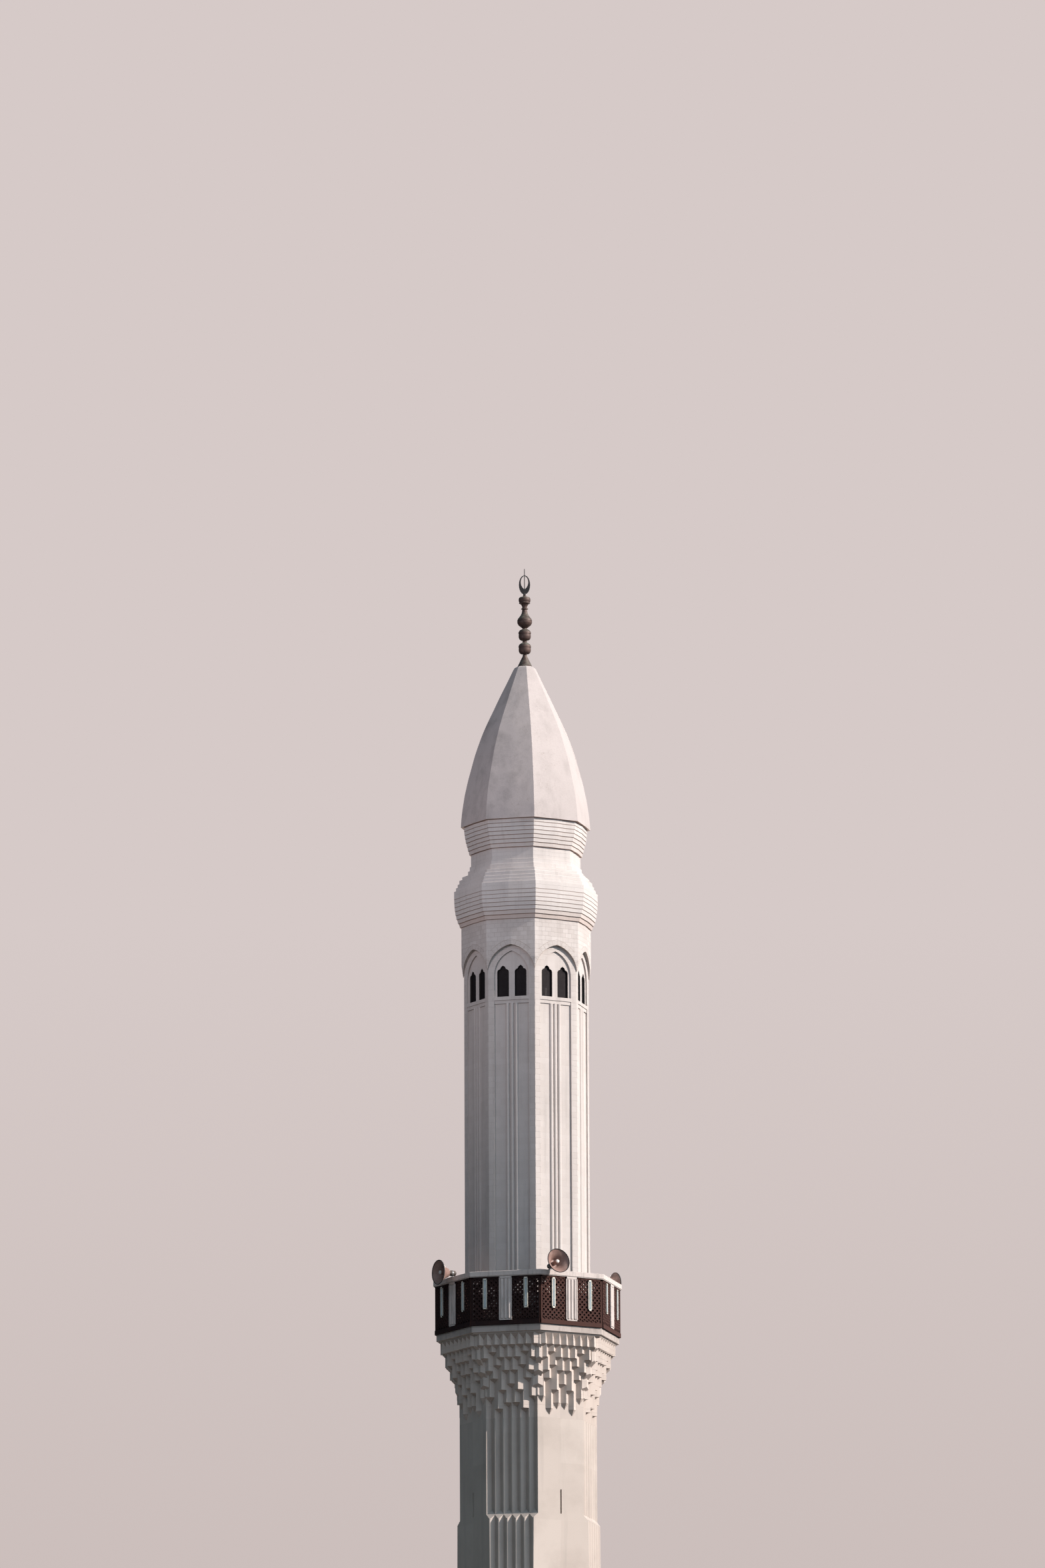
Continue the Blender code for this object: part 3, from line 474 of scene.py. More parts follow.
wallLooks = [limestone, insideShadePlaster, panelLimestone, hoodLimestone, shadeNet, archMortar]


def hoodFace(x, z):
    # Depth of the hood's face, which swells to a faint fold in its middle and dies away at its foot.
    size = wallSize
    half, face = size["hood"] * halfTan, size["outer"] + 0.003
    slope = (size["hoodMiddle"] - size["hood"]) / half
    proud = size["hood"] + max(0.0, half - abs(x)) * slope - face
    share = (z - size["hoodFoot"]) / (size["hoodTaper"] - size["hoodFoot"])
    return -face - proud * min(1.0, max(0.0, share))


def windowPanel(shape):
    size = wallSize
    cusps = size["cusps"]
    opening = cusps + [(-x, z) for x, z in reversed(cusps[:-1])]
    holes = [[(sign * size["windowX"] + x, size["windowFoot"] + z) for x, z in opening] for sign in (-1, 1)]
    half = size["recessHalf"] + size["panelLap"]
    low, high = size["foot"] + size["panelFoot"], size["recessApex"] + 0.05
    panel = [(-half, low), (-half, high), (half, high), (half, low)]
    raised(shape, panel, holes, -size["recess"], -size["inner"])


def hood(shape):
    size = wallSize
    half, wide = size["hood"] * halfTan, size["hoodMiddle"] * halfTan + 0.02
    foot, taper, top = size["hoodFoot"], size["hoodTaper"], size["top"]
    loop = [(-wide, top), (-wide, taper), (-wide, foot - 0.02)]
    loop += pointedArch(half - 0.004, foot, size["hoodApex"], size["arcSteps"])
    loop += [(wide, foot - 0.02), (wide, taper), (wide, top), (0.0, top)]
    for vert in raised(shape, loop, [], -size["hood"], -size["outer"] + 0.02):
        if vert.co.y < -size["hood"] + 0.001:
            vert.co.y = hoodFace(vert.co.x, vert.co.z)


def archJoints(shape):
    # Fine proud strips for the joints round and between the arch stones, and a painted shade line along the
    # arch's edge.
    size = wallSize
    half = size["hood"] * halfTan - 0.003
    line = pointedArch(half, size["hoodFoot"], size["hoodApex"] + 0.001, size["archStones"])
    line = [Vector(point) for point in line]
    last = len(line) - 1
    runs = [(line[min(i + 1, last)] - line[max(i - 1, 0)]).normalized() for i in range(last + 1)]
    outward = [Vector((-run.y, run.x)) for run in runs]
    near = [point + out * 0.001 for point, out in zip(line, outward)]
    far = [point + out * size["voussoir"] for point, out in zip(line, outward)]
    strips = [(a, b, size["joint"]) for row in (near, far) for a, b in zip(row, row[1:])]
    strips += [(near[i], far[i], size["joint"] * 0.7) for i in range(2, last - 1)]
    for start, end, wide in strips:
        run = (end - start).normalized()
        side = Vector((-run.y, run.x)) * wide / 2
        corners = [tuple(point) for point in (start - side, end - side, end + side, start + side)]
        for vert in raised(shape, corners, [], -0.0008, 0.010, wallLooks.index(archMortar)):
            vert.co.y += hoodFace(vert.co.x, vert.co.z)


def sillAndRibs(shape):
    size = wallSize
    low, seam, high = size["sill"]
    lower, upper = size["sillProud"]
    reach, face = size["recessHalf"] - 0.001, -size["recess"]
    block(shape, -reach, reach, face - upper, face + 0.01, seam, high)
    block(shape, -reach, reach, face - lower, face + 0.01, low, seam + 0.001)
    radius, foot = size["ribRadius"], size["foot"] + 0.08
    for rib in (-1, 0, 1):
        rod(shape, 20, radius, rib * size["ribPitch"], face - 0.001, foot, low + 0.01,
            deep=size["ribDeep"] / radius)


def netting(shape):
    # Near-black netting across the windows, as painted shade of the dark openings; the real mesh is finer,
    # it is drawn coarser here so that it shows.
    size = wallSize
    look = wallLooks.index(shadeNet)
    strip, pitch = size["netStrip"]
    weft, step = size["netWeft"]
    front, middle, back = (-size["net"] + i * size["wire"] for i in range(3))
    foot, top = size["windowFoot"] - 0.01, size["windowFoot"] + 0.71
    reach = size["windowHalf"] + 0.006
    for sign in (-1, 1):
        x = sign * size["windowX"]
        for i in range(-8, 9):
            left = x + i * pitch - strip / 2
            block(shape, left, left + strip, front, middle, foot, top, look)
        for i in range(int((top - foot) / step)):
            z = foot + 0.012 + i * step
            block(shape, x - reach, x + reach, middle, back, z, z + weft, look)


def upperWall():
    size = wallSize
    shape = bmesh.new()
    edge, half = size["outer"] * halfTan, size["recessHalf"]
    low = size["foot"] + size["recessFoot"]
    arch = pointedArch(half, size["recessSpring"], size["recessApex"], size["arcSteps"])
    recess = [(-half, low)] + arch + [(half, low)]
    rim = [(-edge, size["foot"]), (-edge, size["top"]), (edge, size["top"]), (edge, size["foot"])]
    raised(shape, rim, [recess], -size["outer"], -size["inner"] - 0.02)
    windowPanel(shape)
    hood(shape)
    archJoints(shape)
    # Mitre the ends on the neighbouring walls.
    for sign in (-1, 1):
        normal = Vector((sign * math.cos(math.pi / 8), math.sin(math.pi / 8), 0))
        geom = list(shape.verts) + list(shape.edges) + list(shape.faces)
        cut = bmesh.ops.bisect_plane(shape, geom=geom, dist=1e-5, plane_co=(0, 0, 0), plane_no=normal,
                                     clear_outer=True)["geom_cut"]
        bmesh.ops.holes_fill(shape, edges=only(BMEdge, cut), sides=0)
    sillAndRibs(shape)
    # Each kind of face takes its own stone: hood, sunk panel, or plain wall.
    for face in shape.faces:
        middle = face.calc_center_median()
        if face.material_index == wallLooks.index(archMortar):
            continue
        if middle.y < -size["outer"] - 0.004:
            face.material_index = wallLooks.index(hoodLimestone)
        elif middle.y > -size["outer"] + 0.002 and abs(middle.x) < half + 0.002:
            face.material_index = wallLooks.index(panelLimestone)
    # Past the narrow stone reveal everything takes the painted shade of the dark inside.
    behind = -size["recess"] + size["reveal"]
    geom = list(shape.verts) + list(shape.edges) + list(shape.faces)
    bmesh.ops.bisect_plane(shape, geom=geom, dist=1e-5, plane_co=(0, behind, 0), plane_no=(0, 1, 0))
    for face in shape.faces:
        if face.calc_center_median().y > behind + 1e-4:
            face.material_index = wallLooks.index(insideShadePlaster)
    netting(shape)
    return keep("upperWall1", shape, wallLooks, "limestone", "upper_wall_1", smooth=24)


repeated(upperWall(), "upperWall", 8, "limestone", "upper_wall")
print("upper shaft ready")


# Bulge, neck and cornice: each course is its foot's height and its half width there.

bulgeSize = {
    "courses": [(28.44, 1.36), (28.53, 1.40), (28.62, 1.43), (28.71, 1.45), (28.80, 1.464), (28.89, 1.472),
                (28.98, 1.476), (29.07, 1.479), (29.25, 1.44), (29.33, 1.405), (29.41, 1.37), (29.50, 1.31),
                (29.58, 1.19), (29.71, 1.155), (29.81, 1.128)],
    "top": 30.0797, "inner": 1.04, "back": [(0.95, 30.0797), (0.95, 29.30)], "crease": 0.940, "lean": 0.5}
corniceSize = {
    "courses": [(30.08 + i * 0.62 / 7, half) for i, half in
                enumerate([1.163, 1.189, 1.210, 1.233, 1.249, 1.260, 1.269])],
    "top": 30.6997, "inner": 0.95, "back": [(0.95, 30.6997)], "crease": 0.948, "lean": 0.5}


def moulding(name, size, look, solid):
    # Each course leans a little towards the one above and ends in a fine groove.
    shape = bmesh.new()
    courses = size["courses"]
    profile = [(size["inner"], courses[0][0])]
    for (z, half), (top, above) in zip(courses, courses[1:] + [(size["top"], courses[-1][1])]):
        upper = half + size["lean"] * max(0.0, above - half)
        profile += [(half, z + 0.002), (upper, top - 0.004), (upper - 0.004, top)]
    profile += size["back"]
    spun(shape, [(cornerOf(half), z) for half, z in profile], 16)
    creased(shape, size["crease"])
    shadeInside(shape, size["inner"])
    keep(name, shape, [look, insideShadePlaster], "limestone", solid)


moulding("bulgeCourses", bulgeSize, mouldedLimestone, "bulge_moulding")
moulding("corniceCourses", corniceSize, corniceLimestone, "dome_cornice")
print("mouldings ready")


# Dome.

domeSize = {
    "outline": [
        (1.444, 30.70), (1.432, 30.88), (1.412, 31.06), (1.386, 31.24), (1.357, 31.42), (1.318, 31.60),
        (1.275, 31.78), (1.225, 31.96), (1.177, 32.14), (1.126, 32.32), (1.067, 32.50), (1.004, 32.68),
        (0.934, 32.86), (0.855, 33.04), (0.771, 33.22), (0.687, 33.40), (0.603, 33.58), (0.516, 33.76),
        (0.427, 33.94), (0.340, 34.12), (0.292, 34.22), (0.257, 34.29), (0.226, 34.335), (0.186, 34.357)],
    "foot": 30.70, "top": 34.36, "shell": 0.12, "innerTop": 0.30, "crease": 0.933, "wave": 0.004}


def dome():
    size = domeSize
    shape = bmesh.new()
    outline, shell = size["outline"], size["shell"]
    inner = [(r - shell, z - 0.4 * shell) for r, z in outline if r > size["innerTop"]][1:]
    inner = [(outline[0][0] - shell, size["foot"])] + inner + [(0.0, inner[-1][1] + 0.05)]
    spun(shape, [(0.0, size["top"])] + curve(outline, 3)[::-1] + inner, 16, closed=False)
    creased(shape, size["crease"])
    level = [e for e in shape.edges if abs(e.verts[0].co.z - e.verts[1].co.z) < 1e-5]
    sides = [e for e in level if e.calc_length() > 0.12]
    bmesh.ops.subdivide_edges(shape, edges=sides, cuts=3, use_grid_fill=True)
    low, high = size["foot"] + 0.02, size["top"] - 0.01
    # The hand-floated skin swells and sinks a little.
    for vert in shape.verts:
        flat = Vector((vert.co.x, vert.co.y, 0))
        if vert.co.z > low and flat.length > 0.1:
            vert.co += flat.normalized() * noise.noise(vert.co * 2.3) * size["wave"]
    bmesh.ops.recalc_face_normals(shape, faces=shape.faces)
    # Inner faces and the down-turned underside of the eave take the painted shade of the inside.
    for face in shape.faces:
        middle = face.calc_center_median()
        outward = face.normal.x * middle.x + face.normal.y * middle.y
        if low < middle.z < high and (outward < 0 or face.normal.z < -0.4):
            face.material_index = 1
    keep("domeShell", shape, [domePlaster, insideShadePlaster], "white_plaster", "dome", smooth=5)


dome()
print("dome ready")


# Finial: the outlines are half widths and heights, those of a ball from the ball's middle.

finialSize = {
    "foot": 34.3603, "steps": 40, "balls": (34.78, 35.09), "joint": 35.24,
    "cone": [(0.165, 0.0), (0.165, 0.012), (0.159, 0.020), (0.045, 0.255), (0.043, 0.28)],
    "ballLow": [(0.05, -0.135), (0.075, -0.13), (0.118, -0.095), (0.135, -0.045), (0.134, 0.012)],
    "ballSeam": [(0.130, 0.014), (0.130, 0.018)],
    "ballHigh": [(0.141, 0.020), (0.134, 0.07), (0.10, 0.11), (0.06, 0.13), (0.05, 0.135)],
    "vaseLow": [(0.055, 35.245), (0.10, 35.28), (0.135, 35.31), (0.16, 35.354), (0.165, 35.396)],
    "vaseSeam": [(0.161, 35.399), (0.161, 35.404)],
    "vaseHigh": [(0.165, 35.407), (0.160, 35.432), (0.146, 35.46), (0.111, 35.505), (0.082, 35.55),
                 (0.063, 35.60), (0.054, 35.664)],
    "ring": [(0.074, 35.670), (0.078, 35.674), (0.078, 35.686), (0.074, 35.691), (0.053, 35.700)],
    "bowl": [(0.054, 35.712), (0.058, 35.738), (0.078, 35.778), (0.120, 35.803)],
    "bowlRim": [(0.123, 35.808), (0.123, 35.822), (0.117, 35.828), (0.117, 35.838)],
    "lid": [(0.126, 35.846), (0.131, 35.87), (0.131, 35.90), (0.116, 35.938), (0.06, 35.957)],
    "knob": [(0.037, 35.962), (0.037, 35.988), (0.022, 36.00), (0, 36.00)],
    "moonSteps": 28, "moonHalf": 0.017, "moonBearing": -30.0,
    "moonOuter": (0.125, 0.215, 36.23), "moonInner": (0.083, 0.1375, 36.2925), "moonFlat": 0.03,
    "rod": [(0, 36.0003), (0.034, 36.0003), (0.030, 36.012), (0.016, 36.05), (0.010, 36.13), (0.0085, 36.585),
            (0, 36.60)]}


def finialBalls():
    size = finialSize
    shape = bmesh.new()
    profile = [(0, size["foot"])] + [(r, size["foot"] + z) for r, z in size["cone"]]
    for ball in size["balls"]:
        half = curve(size["ballLow"]) + size["ballSeam"] + curve(size["ballHigh"])
        profile += [(r, ball + z) for r, z in half]
    profile += [(0.05, size["joint"]), (0, size["joint"])]
    spun(shape, profile, size["steps"], closed=False)
    keep("finialBalls", shape, [tarnishedBronze], "dark_bronze", "finial_balls", smooth=28)


def finialVase():
    size = finialSize
    shape = bmesh.new()
    foot = size["joint"] + 0.0003
    profile = [(0, foot), (0.050, foot)] + curve(size["vaseLow"]) + size["vaseSeam"] + curve(size["vaseHigh"])
    profile += size["ring"] + curve(size["bowl"]) + size["bowlRim"] + curve(size["lid"]) + size["knob"]
    spun(shape, profile, size["steps"], closed=False)
    keep("finialVase", shape, [tarnishedBronze], "dark_bronze", "finial_vase", smooth=28)


def finialCrescent():
    size = finialSize
    shape = bmesh.new()
    wide, tall, centre = size["moonOuter"]
    holeWide, holeTall, holeCentre = size["moonInner"]
    outer, inner = [], []
    for step in range(size["moonSteps"]):
        angle = step * 2 * math.pi / size["moonSteps"]
        side, up = math.sin(angle), -math.cos(angle)
        # The hole dips a little in the middle of its foot.
        sunk = size["moonFlat"] * (1 - abs(side)) ** 2 if up < 0 else 0.0
        outer.append((wide * side, centre + tall * up))
        inner.append((holeWide * side, holeCentre + holeTall * up - sunk))
    raised(shape, outer, [inner], -size["moonHalf"], size["moonHalf"])
    spun(shape, size["rod"], 20, closed=False)
    keep("finialCrescent", shape, [darkBronze], "dark_bronze", "crescent", smooth=35,
         turn=math.radians(size["moonBearing"]))


finialBalls()
finialVase()
finialCrescent()
print("finial ready")


# Gallery.

screenSize = {
    "inner": 1.858, "outer": 1.894, "foot": 19.358, "top": 20.4197, "rail": 0.095, "railOut": 1.909,
    "proud": 0.004, "end": 0.012, "board": 0.15, "bead": 0.013, "stile": (0.05, 0.013),
    "backing": 1.880, "backingEnd": 0.014, "backingHigh": (0.088, 0.001), "backingLow": (0.09, 0.145),
    "holeRadius": 0.026, "holeBevel": 1.18, "bevelDeep": 0.003, "pitchX": 0.108, "pitchZ": 0.112,
    "firstZ": 19.50, "margin": 0.035, "middle": 0.09,
    "clearAbove": 0.04, "throat": 0.62,  # most holes are closed at the back, as painted shade
    "lampX": 0.46, "lampFoot": 19.71, "lampTop": 20.38, "lampHalf": 0.043, "lampDeep": 0.026,
    "lampLip": 0.014, "lampCap": 0.03, "tubeRadius": 0.016, "holder": (0.017, 0.025, 0.015)}
lampLooks = [battenEnamel, tubeGlass, rimRubber]


def latticeTile(blind):
    size = screenSize
    shape = bmesh.new()

    def toDiamond(verts):
        for vert in verts:
            x, y = vert.co.x, vert.co.y
            total = abs(x) / (size["pitchX"] / 2) + abs(y) / (size["pitchZ"] / 2)
            vert.co.x, vert.co.y = x / total, y / total

    bmesh.ops.create_circle(shape, cap_ends=False, segments=8, radius=size["holeRadius"])
    loop, hole = list(shape.edges), list(shape.verts)
    out = bmesh.ops.extrude_edge_only(shape, edges=loop)["geom"]
    rim = only(BMVert, out)
    for vert in rim:
        vert.co *= size["holeBevel"]
    toDiamond(only(BMVert, bmesh.ops.extrude_edge_only(shape, edges=only(BMEdge, out))["geom"]))
    for vert in hole + rim:
        vert.co.z = size["bevelDeep"]
    back = bmesh.ops.extrude_edge_only(shape, edges=loop)["geom"]
    for vert in only(BMVert, back):
        vert.co *= size["throat"]
        vert.co.z = size["inner"] - size["outer"]
    toDiamond(only(BMVert, bmesh.ops.extrude_edge_only(shape, edges=only(BMEdge, back))["geom"]))
    # A blind tile's back is closed with the dark paint, as painted shade inside the hole.
    if blind:
        bmesh.ops.contextual_create(shape, geom=only(BMEdge, back))
    mesh = bpy.data.meshes.new("tile")
    shape.to_mesh(mesh)
    shape.free()
    return mesh


def boards(shape):
    # Rails, stiles and middle board round the pierced field.
    size = screenSize
    edge = size["outer"] * halfTan - 0.001
    long, short = edge - size["end"], edge - size["backingEnd"]
    front, back = -size["outer"] - size["proud"], -size["inner"] - 0.001
    foot, top, board = size["foot"], size["top"], size["board"]
    block(shape, -long, long, -size["railOut"], -size["inner"], foot + 0.001, foot + size["rail"])
    block(shape, -long, long, front, back - 0.001, top - 0.035, top)
    block(shape, -board, board, -size["outer"], back - 0.001, foot + 0.05, top - 0.002)
    high, low = size["backingHigh"], size["backingLow"]
    block(shape, -short, short, -size["backing"], back, top - high[0], top - high[1])
    block(shape, -short, short, -size["backing"], back, foot + low[0], foot + low[1])
    wide, gap = size["stile"]
    for sign in (-1, 1):
        for near, far in ((edge - wide, edge - gap), (board, board + size["bead"])):
            sideBlock(shape, sign, near, far, front, back, foot + 0.05, top - 0.001)


def lattice():
    size = screenSize
    openTile, blindTile = latticeTile(False), latticeTile(True)
    shape = bmesh.new()
    halfWide = size["inner"] * halfTan
    rows = int((size["top"] - size["firstZ"] + 0.02) / size["pitchZ"] * 2)
    for row in range(rows):
        z = size["firstZ"] + row * size["pitchZ"] / 2
        shift = 0.5 if row % 2 else 0.0
        for column in range(-8, 9):
            x = (column + shift) * size["pitchX"]
            if abs(x) > halfWide - size["margin"] or abs(x) < size["middle"]:
                continue
            known = len(shape.verts)
            # Holes closed at their back in wide clumps, with single open holes scattered among them; the
            # closed backs are painted shade of the dark behind the screen.
            clearNoise = noise.noise(Vector((x * 4.1, 0.3, z * 4.6)))
            clearNoise += 0.35 * noise.noise(Vector((x * 31, 2.0, z * 37)))
            shape.from_mesh(openTile if clearNoise > size["clearAbove"] else blindTile)
            shape.verts.ensure_lookup_table()
            upright = Matrix.Translation((x, -size["outer"], z)) @ Matrix.Rotation(math.pi / 2, 4, "X")
            bmesh.ops.transform(shape, verts=shape.verts[known:], matrix=upright)
    bmesh.ops.remove_doubles(shape, verts=shape.verts, dist=0.0004)
    edges = [e for e in shape.edges if e.is_boundary]
    fronts = [e for e in edges if all(v.co.y < -size["outer"] + 0.01 for v in e.verts)]
    for vert in only(BMVert, bmesh.ops.extrude_edge_only(shape, edges=fronts)["geom"]):
        vert.co.y = -size["inner"]
    bmesh.ops.remove_doubles(shape, verts=shape.verts, dist=0.0004)
    boards(shape)
    return keep("screenLattice1", shape, [screenPaint], "dark_screen", "screen_1")


repeated(lattice(), "screenLattice", 8, "dark_screen", "screen")


def lampBattens():
    # A folded tray with its lips, caps and tube, upright on each side of the screen.
    size = screenSize
    shape = bmesh.new()
    x, half, lip = size["lampX"], size["lampHalf"], size["lampLip"]
    face, deep, cap = -size["outer"] - 0.003, size["lampDeep"], size["lampCap"]
    foot, top = size["lampFoot"], size["lampTop"]
    wide, out, tall = size["holder"]
    for sign in (-1, 1):
        sideBlock(shape, sign, x - half, x + half, face - 0.006, face + 0.004, foot, top)
        for edge in (x - half, x + half - lip):
            sideBlock(shape, sign, edge, edge + lip, face - deep, face, foot, top)
        for low in (foot, top - cap):
            sideBlock(shape, sign, x - half, x + half, face - deep, face, low, low + cap)
        rod(shape, 14, size["tubeRadius"], sign * x, face - 0.013, foot + 0.035, top - 0.035,
            look=lampLooks.index(tubeGlass))
        for low in (foot + 0.030, top - 0.030 - tall):
            sideBlock(shape, sign, x - wide, x + wide, face - out, face, low, low + tall,
                      look=lampLooks.index(rimRubber))
    return keep("lampBattens1", shape, lampLooks, "dark_screen", smooth=30)


repeated(lampBattens(), "lampBattens", 8, "dark_screen")

frameSize = {
    "inner": 1.83, "outer": 1.93, "low": 20.42, "high": 20.54, "chamfer": 0.008, "drip": (0.012, 0.01),
    "postHalf": 0.1425, "postFoot": 19.455, "postOut": 1.912, "postBack": 1.8945, "postEdge": 0.018,
    "postBands": (0.022, 0.05), "ribRadius": 0.030, "ribPitch": 0.082}


def copingRing():
    size = frameSize
    shape = bmesh.new()
    inner, outer, low, high, c = (size[key] for key in ("inner", "outer", "low", "high", "chamfer"))
    deep, rise = size["drip"]
    eightSided(shape, [(inner, low), (outer - deep, low), (outer - deep, low + rise), (outer - c, low + rise),
                       (outer, low + rise + c), (outer, high - c), (outer - c, high), (inner + c, high),
                       (inner, high - c)])
    keep("copingRing", shape, [limewash], "white_plaster", "parapet_frame")


def ribbedPost():
    size = frameSize
    shape = bmesh.new()
    half, low, high = size["postHalf"], size["postFoot"], size["low"] + 0.004
    back, face = -size["postBack"], -size["postOut"]
    footBand, topBand = size["postBands"]
    block(shape, -half, half, face + 0.006, back, low, high)
    for sign in (-1, 1):
        sideBlock(shape, sign, half - size["postEdge"], half, face - 0.006, back, low, high)
    block(shape, -half, half, face - 0.006, back, low, low + footBand)
    block(shape, -half, half, face - 0.006, back, high - topBand, high)
    radius = size["ribRadius"]
    bottom, top = low + footBand + radius, high - topBand - radius
    for rib in (-1, 0, 1):
        x, y = rib * size["ribPitch"], face + 0.012
        rod(shape, 14, radius, x, y, bottom, top)
        for z in (bottom, top):
            bmesh.ops.create_uvsphere(shape, u_segments=14, v_segments=8, radius=radius,
                                      matrix=Matrix.Translation((x, y, z)))
    return keep("ribbedPost1", shape, [limewash], "white_plaster", smooth=30)


copingRing()
repeated(ribbedPost(), "ribbedPost", 8, "white_plaster")

slabSize = {"hole": 0.95, "outer": 1.868, "low": 19.2103, "high": 19.3297, "rim": 19.358, "rimInner": 1.83,
            "chamfer": 0.006}


def gallerySlab():
    shape = bmesh.new()
    hole, outer, low, high, rim, rimInner, c = slabSize.values()
    eightSided(shape, [(hole, low), (outer - c, low), (outer, low + c), (outer, rim - c), (outer - c, rim),
                       (rimInner, rim), (rimInner, high), (hole, high)])
    keep("gallerySlab", shape, [wornLimewash], "white_plaster", "gallery_slab")


gallerySlab()
print("gallery ready")


# Horn loudspeakers: the outlines are half widths and depths from the mouth's middle.

hornSize = {
    "places": [(0, -0.53, 20.65, 11), (2, 0.06, 20.68, 0), (4, 0.0, 20.62, 0), (6, 0.0, 20.62, 0)],
    "out": 2.008,
    "bell": [(0.052, 0.035), (0.085, 0.045), (0.115, 0.095), (0.170, 0.165), (0.225, 0.215), (0.262, 0.246)],
    "skin": [(0.266, 0.240), (0.228, 0.204), (0.175, 0.152), (0.128, 0.085), (0.100, 0.022), (0.085, 0.004)],
    "rim": [(0.262, 0.238), (0.268, 0.236), (0.2745, 0.243), (0.2745, 0.254), (0.268, 0.262), (0.261, 0.257),
            (0.259, 0.246)],
    "core": [(0, 0.03), (0.048, 0.03), (0.046, 0.12), (0.043, 0.195), (0, 0.195)],
    "coreCap": [(0.043, 0.196), (0.039, 0.214), (0.024, 0.226), (0.0, 0.231)],
    "casing": [(0, 0.006), (0.07, 0.006), (0.07, -0.012), (0.058, -0.018), (0.058, -0.045), (0.0595, -0.05),
               (0.0595, -0.15), (0.055, -0.168), (0.040, -0.182), (0.0, -0.188)],
    "strap": [(0.058, -0.075), (0.0635, -0.075), (0.0635, -0.105), (0.058, -0.105)],
    "footPlate": (0.05, -1.92, -1.84, 20.5403, 20.548), "stem": (0.018, -1.893, -1.867, 20.545),
    "boltX": 0.036, "bolt": (0.008, -1.88, 20.548, 20.556)}
hornLooks = [hornEnamel, rimRubber, coreWhite, casingEnamel, zincSteel]


def horn(number, side, along, height, tilt):
    size = hornSize
    shape = bmesh.new()
    steel = hornLooks.index(zincSteel)
    bell = [(0.0, 0.035)] + curve(size["bell"]) + curve(size["skin"]) + [(0.0, 0.004)]
    spun(shape, bell, 40, closed=False)
    spun(shape, size["rim"], 40, look=hornLooks.index(rimRubber))
    spun(shape, size["core"], 24, closed=False)
    spun(shape, [(0, 0.195)] + curve(size["coreCap"]), 24, closed=False, look=hornLooks.index(coreWhite))
    spun(shape, size["casing"], 28, closed=False, look=hornLooks.index(casingEnamel))
    spun(shape, size["strap"], 28, look=steel)
    level = Matrix.Rotation(math.pi / 2 - math.radians(tilt), 3, "X")
    bmesh.ops.rotate(shape, verts=shape.verts, cent=(0, 0, 0), matrix=level)
    bmesh.ops.translate(shape, verts=shape.verts, vec=(along, -size["out"], height))
    # Foot plate, bolts and the post that carries the clamp.
    half, *plate = size["footPlate"]
    block(shape, along - half, along + half, *plate, look=steel)
    half, *stem = size["stem"]
    block(shape, along - half, along + half, *stem, height - 0.03, look=steel)
    radius, *bolt = size["bolt"]
    for sign in (-1, 1):
        rod(shape, 6, radius, along + sign * size["boltX"], *bolt)
    keep(f"hornSpeaker{number}", shape, hornLooks, "horn_paint", f"horn_{number}", smooth=30,
         turn=side * math.pi / 4)


for number, place in enumerate(hornSize["places"], 1):
    horn(number, *place)
print("horns ready")


# Lower shaft.

def dress(name, look):
    piece = nodes[name]
    piece.data.materials.clear()
    piece.data.materials.append(look)


for name in ["right_wall", "back_wall", "left_wall", "front_wall", "doorway_wall"]:
    dress(name, limeRender)
pierSize = {"arris": 0.028, "arrisSteps": 5, "clearOfWall": 0.62, "sharper": 1.2}


def roundedPier():
    size = pierSize
    shape = bmesh.new()
    shape.from_mesh(nodes["pier_1"].data)
    bmesh.ops.remove_doubles(shape, verts=shape.verts, dist=1e-4)
    bmesh.ops.dissolve_limit(shape, angle_limit=math.radians(0.5), verts=shape.verts, edges=shape.edges)
    arrises = []
    for edge in shape.edges:
        a, b = (vert.co for vert in edge.verts)
        upright = (a - b).to_2d().length < 1e-4 and len(edge.link_faces) == 2
        outside = min(abs(a.x), abs(a.y)) > size["clearOfWall"]
        if upright and outside and edge.calc_face_angle_signed(0) > size["sharper"]:
            arrises.append(edge)
    bmesh.ops.bevel(shape, geom=arrises, offset=size["arris"], offset_type="OFFSET", affect="EDGES",
                    segments=size["arrisSteps"], profile=0.5, material=-1, clamp_overlap=True)
    return keep("roundedPier1", shape, [limeRender], "limestone", "pier_1")


repeated(roundedPier(), "roundedPier", 4, "limestone", "pier")
dress("corbel_tiers", carvedLimestone)
dress("plinth", carvedLimestone)
print("lower shaft ready")


# Floor, light and camera.

studio = {
    "floorRadius": 20.0, "floor": "#b3aeaa", "floorWorn": "#c4beb8",
    "sunBearing": 74.5, "sunHeight": 27.0, "sunPower": 5.55, "sunWidth": 1.6, "sunTint": (1.0, 0.915, 0.855),
    "skyLow": "#cbbebb", "skyHigh": "#d6cac8", "skyBand": (0.125, 0.185), "backdropEdge": (0.80, 0.93),
    "ambient": "#aebfce", "ambientLeft": "#7ba3b8", "ambientBearing": 68.0, "ambientTurn": (-0.25, 0.5),
    "ambientRange": (-0.25, 1.0), "ambientPower": (0.30, 1.9),
    "underside": 0.10, "undersideBand": (-0.12, 0.10)}
lens = {"distance": 236.9, "height": -16.05, "bearing": 30.2, "pitch": 11.4, "focal": 250.56, "yaw": 0.0155,
        "roll": -0.26}

bearing = math.radians(lens["bearing"])
toCamera = Vector((-math.sin(bearing), -math.cos(bearing), 0))
toRight = Vector((math.cos(bearing), -math.sin(bearing), 0))


def bearingFrom(degrees):
    angle = math.radians(degrees)
    return toCamera * math.cos(angle) + toRight * math.sin(angle)


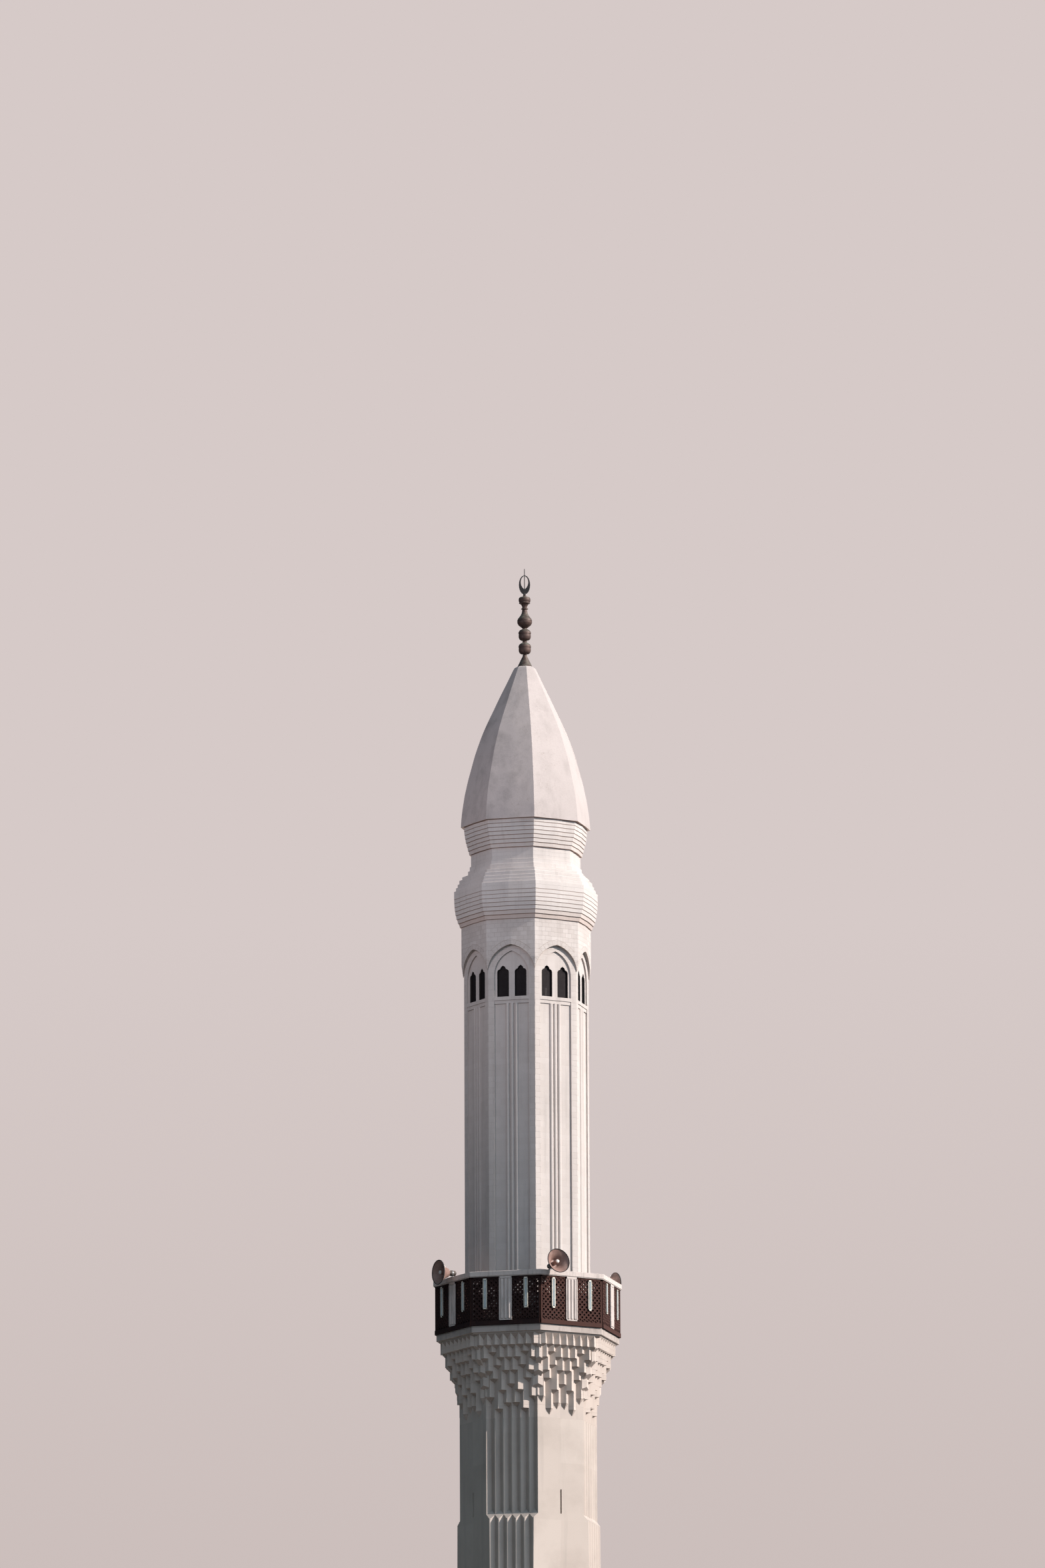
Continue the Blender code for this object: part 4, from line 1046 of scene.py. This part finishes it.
floorShape = bmesh.new()
bmesh.ops.create_circle(floorShape, cap_ends=True, segments=96, radius=studio["floorRadius"],
                        matrix=Matrix.Translation((0, 0, -0.002)))
floorMesh = bpy.data.meshes.new("paleFloor")
floorShape.to_mesh(floorMesh)
floorShape.free()
floor = bpy.data.objects.new("paleFloor", floorMesh)
scene.collection.objects.link(floor)
# Floor paint rolled on concrete: matt, with wide worn patches a little paler than the rest.
floorPaint, floorTree, floorShader = startMaterial("rolledFloorPaint", Roughness=0.9)
add = functools.partial(put, floorTree)
worn = add("TexNoise", {"Vector": add("TexCoord")["Object"], "Scale": 0.35, "Detail": 5.0})["Fac"]
tone = add("Mix", {0: worn, 6: hexColour(studio["floor"]), 7: hexColour(studio["floorWorn"])},
           data_type="RGBA")[2]
floorTree.links.new(tone, floorShader.inputs["Base Color"])
floorMesh.materials.append(floorPaint)


def hung(name, lamp, toward):
    # A lamp as an object that shines back along the given direction.
    holder = bpy.data.objects.new(name, lamp)
    holder.rotation_mode = "QUATERNION"
    holder.rotation_quaternion = toward.to_track_quat("Z", "Y")
    scene.collection.objects.link(holder)
    return holder


sun = bpy.data.lights.new("keySun", "SUN")
sun.energy = studio["sunPower"]
sun.angle = math.radians(studio["sunWidth"])
sun.color = studio["sunTint"]
climb = math.radians(studio["sunHeight"])
hung("keySun", sun, bearingFrom(studio["sunBearing"]) * math.cos(climb) + Vector((0, 0, math.sin(climb))))


def softCard(name, look):
    card = bpy.data.lights.new(name, "AREA")
    card.shape = "SQUARE"
    card.size = look["size"]
    card.spread = math.radians(look["spread"])
    card.energy = look["power"]
    card.color = hexColour(look["tint"])[:3]
    corner = bearingFrom(look["bearing"]) * look["distance"] + Vector((0, 0, look["height"]))
    holder = hung(name, card, corner - Vector((0, 0, look["aim"])))
    holder.location = corner
    holder.visible_camera = False


softCard("frontCard", {"bearing": -40.0, "distance": 16.0, "height": 31.5, "aim": 29.5, "size": 6.0,
                       "spread": 80.0, "tint": "#d9ccd2", "power": 250.0})
softCard("backCard", {"bearing": 178.0, "distance": 34.0, "height": 24.0, "aim": 18.0, "size": 14.0,
                      "spread": 120.0, "tint": "#dcd5d0", "power": 6000.0})

# The backdrop behind the tower takes the pale pink of the sky; the rest of the dome is a cool soft fill.
world = bpy.data.worlds.new("softStudio")
scene.world = world
world.use_nodes = True
tree = world.node_tree
backdrop = tree.nodes["Background"]
add = functools.partial(put, tree)
where = add("TexCoord")["Generated"]
climb = add("SeparateXYZ", where)["Z"]
low, high = studio["skyBand"]
share = add("MapRange", climb, low, high)[0]
sky = add("Mix", {0: share, 6: hexColour(studio["skyLow"]), 7: hexColour(studio["skyHigh"])},
          data_type="RGBA")[2]
behind = add("VectorMath", where, tuple(-toCamera), operation="DOT_PRODUCT")["Value"]
low, high = studio["backdropEdge"]
behind = add("MapRange", behind, low, high)[0]
aside = tuple(bearingFrom(studio["ambientBearing"]))
side = add("VectorMath", where, aside, operation="DOT_PRODUCT")["Value"]
low, high = studio["ambientRange"]
weak, strong = studio["ambientPower"]
fill = add("MapRange", side, low, high, weak, strong)[0]
low, high = studio["undersideBand"]
below = add("MapRange", climb, low, high, studio["underside"], 1.0)[0]
fill = add("Math", fill, below, operation="MULTIPLY")[0]
seen = add("LightPath")["Is Camera Ray"]
behind = add("Math", behind, seen, operation="MAXIMUM")[0]
power = add("Mix", {0: behind, 2: fill, 3: 1.0})[0]
low, high = studio["ambientTurn"]
turn = add("MapRange", side, low, high)[0]
around = add("Mix", {0: turn, 6: hexColour(studio["ambientLeft"]), 7: hexColour(studio["ambient"])},
             data_type="RGBA")[2]
sky = add("Mix", {0: behind, 6: around, 7: sky}, data_type="RGBA")[2]
tree.links.new(sky, backdrop.inputs["Color"])
tree.links.new(power, backdrop.inputs["Strength"])

camera = bpy.data.cameras.new("longLens")
camera.lens = lens["focal"]
camera.sensor_width = 36.0
camera.clip_start = 1.0
camera.clip_end = 2000.0
view = bpy.data.objects.new("longLens", camera)
view.rotation_mode = "QUATERNION"
spot = Matrix.Translation(toCamera * lens["distance"] + Vector((0, 0, lens["height"])))
spot = spot @ Matrix.Rotation(math.radians(lens["yaw"]) - bearing, 4, "Z")
spot = spot @ Matrix.Rotation(math.radians(90 + lens["pitch"]), 4, "X")
spot = spot @ Matrix.Rotation(math.radians(lens["roll"]), 4, "Z")
view.matrix_world = spot
scene.collection.objects.link(view)
scene.camera = view
scene.view_settings.view_transform = "Standard"
print("studio ready")
